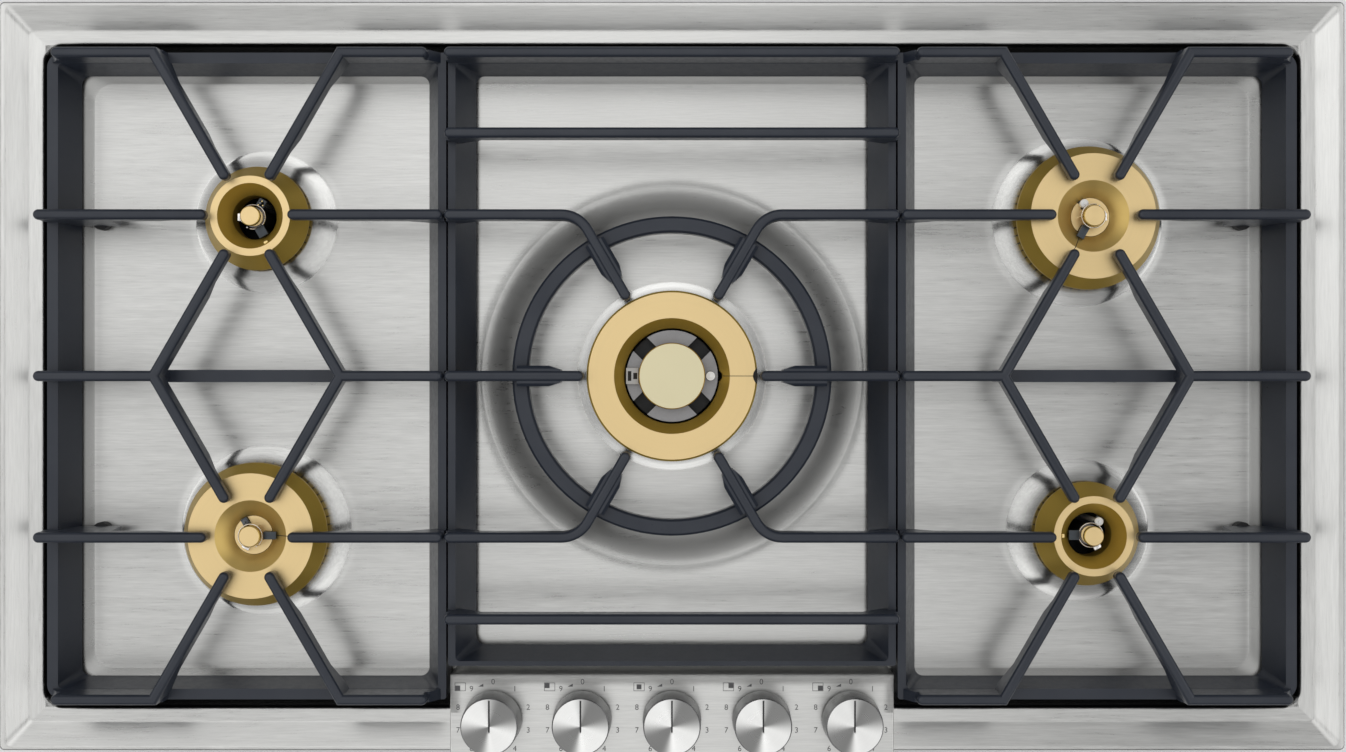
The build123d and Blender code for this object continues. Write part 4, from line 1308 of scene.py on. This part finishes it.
# ======== tray and panel ========
@dataclass
class TrayAndPanel:
    """The tray's and panel's brushed steel, and the grey print round the knobs."""

    ink: Colour = (0.085, 0.085, 0.088)
    print_lift: float = 0.03
    print_thickness: float = 0.02
    digit_height: float = 3.7
    digit_share: float = 0.7  # a digit's height in its type size
    digit_reach: float = 24.9
    digit_turn: float = 36.0
    icon_offset: Spot = (-22.2, 21.6)
    icon_size: Spot = (7.4, 5.7)
    icon_square: float = 3.3
    icon_line: float = 0.35
    icon_room: float = 0.4  # between the square and the icon's outer edge
    icon_places: tuple[Spot, ...] = ((-1, -1), (-1, 1), (0, 0), (1, 1), (1, -1))
    wedge_angle: float = 110.0
    wedge_reach: float = 24.2
    wedge_size: Spot = (3.4, 2.0)
    wedge_tip: float = 0.02  # of its height

    def build(self) -> None:
        """Dress tray and panel, then print the panel."""
        collars = tuple((*burner.spot, burner.foot) for burner in BURNERS)
        dress(["hob_tray"], BrushedSheet("brushed_tray_steel", Grain.MITRED, collars=collars).build())
        dress(["control_panel"], BrushedSheet("brushed_panel_steel", Grain.ALONG_X, roughness=0.33).build())
        ink = GrainedSolid("grey_print", self.ink, 0.55, grain_depth=0.004).build()
        first = self.print_scale()
        for number, (x, corner) in enumerate(zip(KNOB_X, self.icon_places), 1):
            marks = [copy_to(first, x - KNOB_X[0]), self.print_wedge(x), *self.print_icon(x, corner)]
            finish_piece(join_all(marks), f"panel_print_{number}", "cooktop", ink)
        bpy.data.objects.remove(first)

    def print_scale(self) -> Piece:
        """Print the digits round the first knob's place.

        Returns:
            The digits as one mesh.
        """
        digits = []
        for digit in range(10):
            only()
            bpy.ops.object.text_add(location=(0.0, 0.0, 0.0))
            text = bpy.context.object
            text.data.body = str(digit)
            text.data.size = self.digit_height / self.digit_share * MM
            text.data.align_x = text.data.align_y = "CENTER"
            text.data.extrude = self.print_thickness / 2 * MM
            bpy.ops.object.convert(target="MESH")
            text = bpy.context.object
            spot = polar((KNOB_X[0], KNOB_Y), 90.0 - digit * self.digit_turn, self.digit_reach)
            text.location = self.on_panel(*spot)
            digits.append(text)
        scale = join_all(digits)
        bpy.ops.object.transform_apply(location=True, rotation=True, scale=True)
        return scale

    def on_panel(self, x: float, y: float) -> Vector:
        """The point at a place on the panel, a hair over its top."""
        return place(x, y, PANEL_TOP + self.print_lift)

    def print_flat(self, size: Spot, spot: Spot) -> Piece:
        """Print a filled rectangle, a hair thick.

        Args:
            size: Its width and depth.
            spot: Its middle.

        Returns:
            The rectangle.
        """
        only()
        bpy.ops.mesh.primitive_plane_add(size=1.0, location=self.on_panel(*spot))
        flat = bpy.context.object
        flat.scale = (size[0] * MM, size[1] * MM, 1.0)
        bpy.ops.object.transform_apply(location=False, rotation=False, scale=True)
        with editing(flat):
            draw_out(Vector((0.0, 0.0, self.print_thickness * MM)))
            face_outward(merge=False)
        return flat

    def print_icon(self, x: float, corner: Spot) -> list[Piece]:
        """Print a small plan of the cooktop with the knob's own burner filled in.

        Args:
            x: The knob's axis.
            corner: Which way the filled square lies in the plan.

        Returns:
            Its outline and its square.
        """
        spot = (x + self.icon_offset[0], KNOB_Y + self.icon_offset[1])
        outline = self.print_flat(self.icon_size, spot)
        with editing(outline, lambda centre, normal: abs(normal.z) > 0.5):
            bpy.ops.mesh.inset(thickness=self.icon_line * MM, use_individual=True)
            bpy.ops.mesh.bridge_edge_loops()
        inner = tuple(
            middle + way * ((size - self.icon_square) / 2 - self.icon_room)
            for middle, way, size in zip(spot, corner, self.icon_size)
        )
        return [outline, self.print_flat((self.icon_square, self.icon_square), inner)]

    def print_wedge(self, x: float) -> Piece:
        """Print the growing wedge that marks where the burner lights.

        Args:
            x: The knob's axis.

        Returns:
            The wedge.
        """
        spot = polar((x, KNOB_Y), self.wedge_angle, self.wedge_reach)
        wedge = self.print_flat(self.wedge_size, spot)
        base = self.on_panel(spot[0], spot[1] - self.wedge_size[1] / 2)
        with editing(wedge, lambda centre, normal: normal.x < -0.5):
            bpy.ops.transform.resize(value=(1.0, self.wedge_tip, 1.0), center_override=base)
        return wedge


# ======== pan supports ========
@dataclass
class PanSupports:
    """Blue-black enamel on the castings, rubber on their feet."""

    rubber: Colour = (0.020, 0.020, 0.021)

    def build(self) -> None:
        """Dress the supports and their feet."""
        rubber = GrainedSolid("black_rubber", self.rubber, 0.65, grain_size=0.5, grain_depth=0.05).build()
        enamel = CastEnamel("cast_enamel").build()
        for side in ("left", "centre", "right"):
            dress([f"{side}_pan_support"], enamel)
            dress([f"{side}_support_feet"], rubber)


# ======== knobs ========
@dataclass
class Knobs:
    """Spun knobs, their dark index lines, and the spindles and collars under them."""

    face: Colour = (0.60, 0.60, 0.59)
    # painted shade: the knobs' sides are painted darker
    side: Colour = (0.30, 0.30, 0.30)
    # painted sheen on the knob faces
    fans: Span = (0.38, 1.45)
    spindle: Colour = (0.50, 0.50, 0.49)
    lacquer: Colour = (0.02, 0.02, 0.022)
    line_size: Size = (1.06, 20.9, 0.3)
    line_spot: Spot = (6.6, 42.2)  # behind the knob's axis, and height
    line_edge: float = 0.05

    def build(self) -> None:
        """Dress the knobs and fill their engraved lines."""
        axis = (0.0, KNOB_Y)
        spun = SpunMetal(
            "spun_knob_face", self.face, axis, pitch=KNOB_PITCH, anisotropy=0.88, ring_depth=0.008,
            slope=self.side, fans=self.fans,
        ).build()
        turned = SpunMetal("turned_spindle_steel", self.spindle, axis, pitch=KNOB_PITCH).build()
        lacquer = GrainedSolid("dark_lacquer", self.lacquer, 0.35, grain_depth=0.005).build()
        behind, height = self.line_spot
        first = rounded_block(self.line_size, place(KNOB_X[0], KNOB_Y + behind, height), 0.0, self.line_edge)
        for number, x in enumerate(KNOB_X, 1):
            dress([f"control_knob_{number}"], spun)
            dress([f"tap_spindle_{number}", f"thrust_collar_{number}"], turned)
            line = copy_to(first, x - KNOB_X[0])
            finish_piece(line, f"knob_line_{number}", f"knob_{number}", lacquer)
        bpy.data.objects.remove(first)


# ======== casing and gas way ========
@dataclass
class Casing:
    """The zinc-coated casing, what is fixed to it, and the gas way inside."""

    screw: Colour = (0.55, 0.53, 0.48)
    foam: Colour = (0.018, 0.018, 0.018)
    tube: Colour = (0.58, 0.58, 0.57)
    brass: Colour = (0.56, 0.46, 0.25)
    moulding: Colour = (0.70, 0.70, 0.68)

    def build(self) -> None:
        """Dress the casing's parts."""
        pipes = ["left_front", "left_rear", "right_front", "right_rear", "centre_inner", "centre_outer"]
        for finish, nodes in (
            (GalvanisedSheet("zinc_sheet"), ["burner_box", "worktop_clamps"]),
            (GrainedSolid("plated_screw", self.screw, 0.32, metallic=1.0), ["clamp_screws"]),
            (GrainedSolid("black_foam", self.foam, 0.9, grain_size=1.2, grain_depth=0.2), ["worktop_seal"]),
            (GrainedSolid("drawn_tube", self.tube, 0.30, metallic=1.0, grain_depth=0.008),
             ["gas_rail", *[f"pipe_{pipe}" for pipe in pipes]]),
            (GrainedSolid("pressed_brass", self.brass, 0.38, metallic=1.0, grain_depth=0.02),
             ["gas_inlet", *[f"gas_valve_{number}" for number in range(1, 6)]]),
            (GrainedSolid("pale_moulding", self.moulding, 0.5, grain_size=0.4, grain_depth=0.02),
             ["ignition_module", "terminal_box"]),
        ):
            dress(nodes, finish.build())


def main() -> None:
    """Build the classes in order."""
    logging.basicConfig(level=logging.INFO, format="%(name)s: %(message)s")
    for part in (Studio(), TrayAndPanel(), Burners(), PanSupports(), Knobs(), Casing()):
        log.info("building %s", type(part).__name__)
        part.build()


if __name__ == "__main__":
    main()
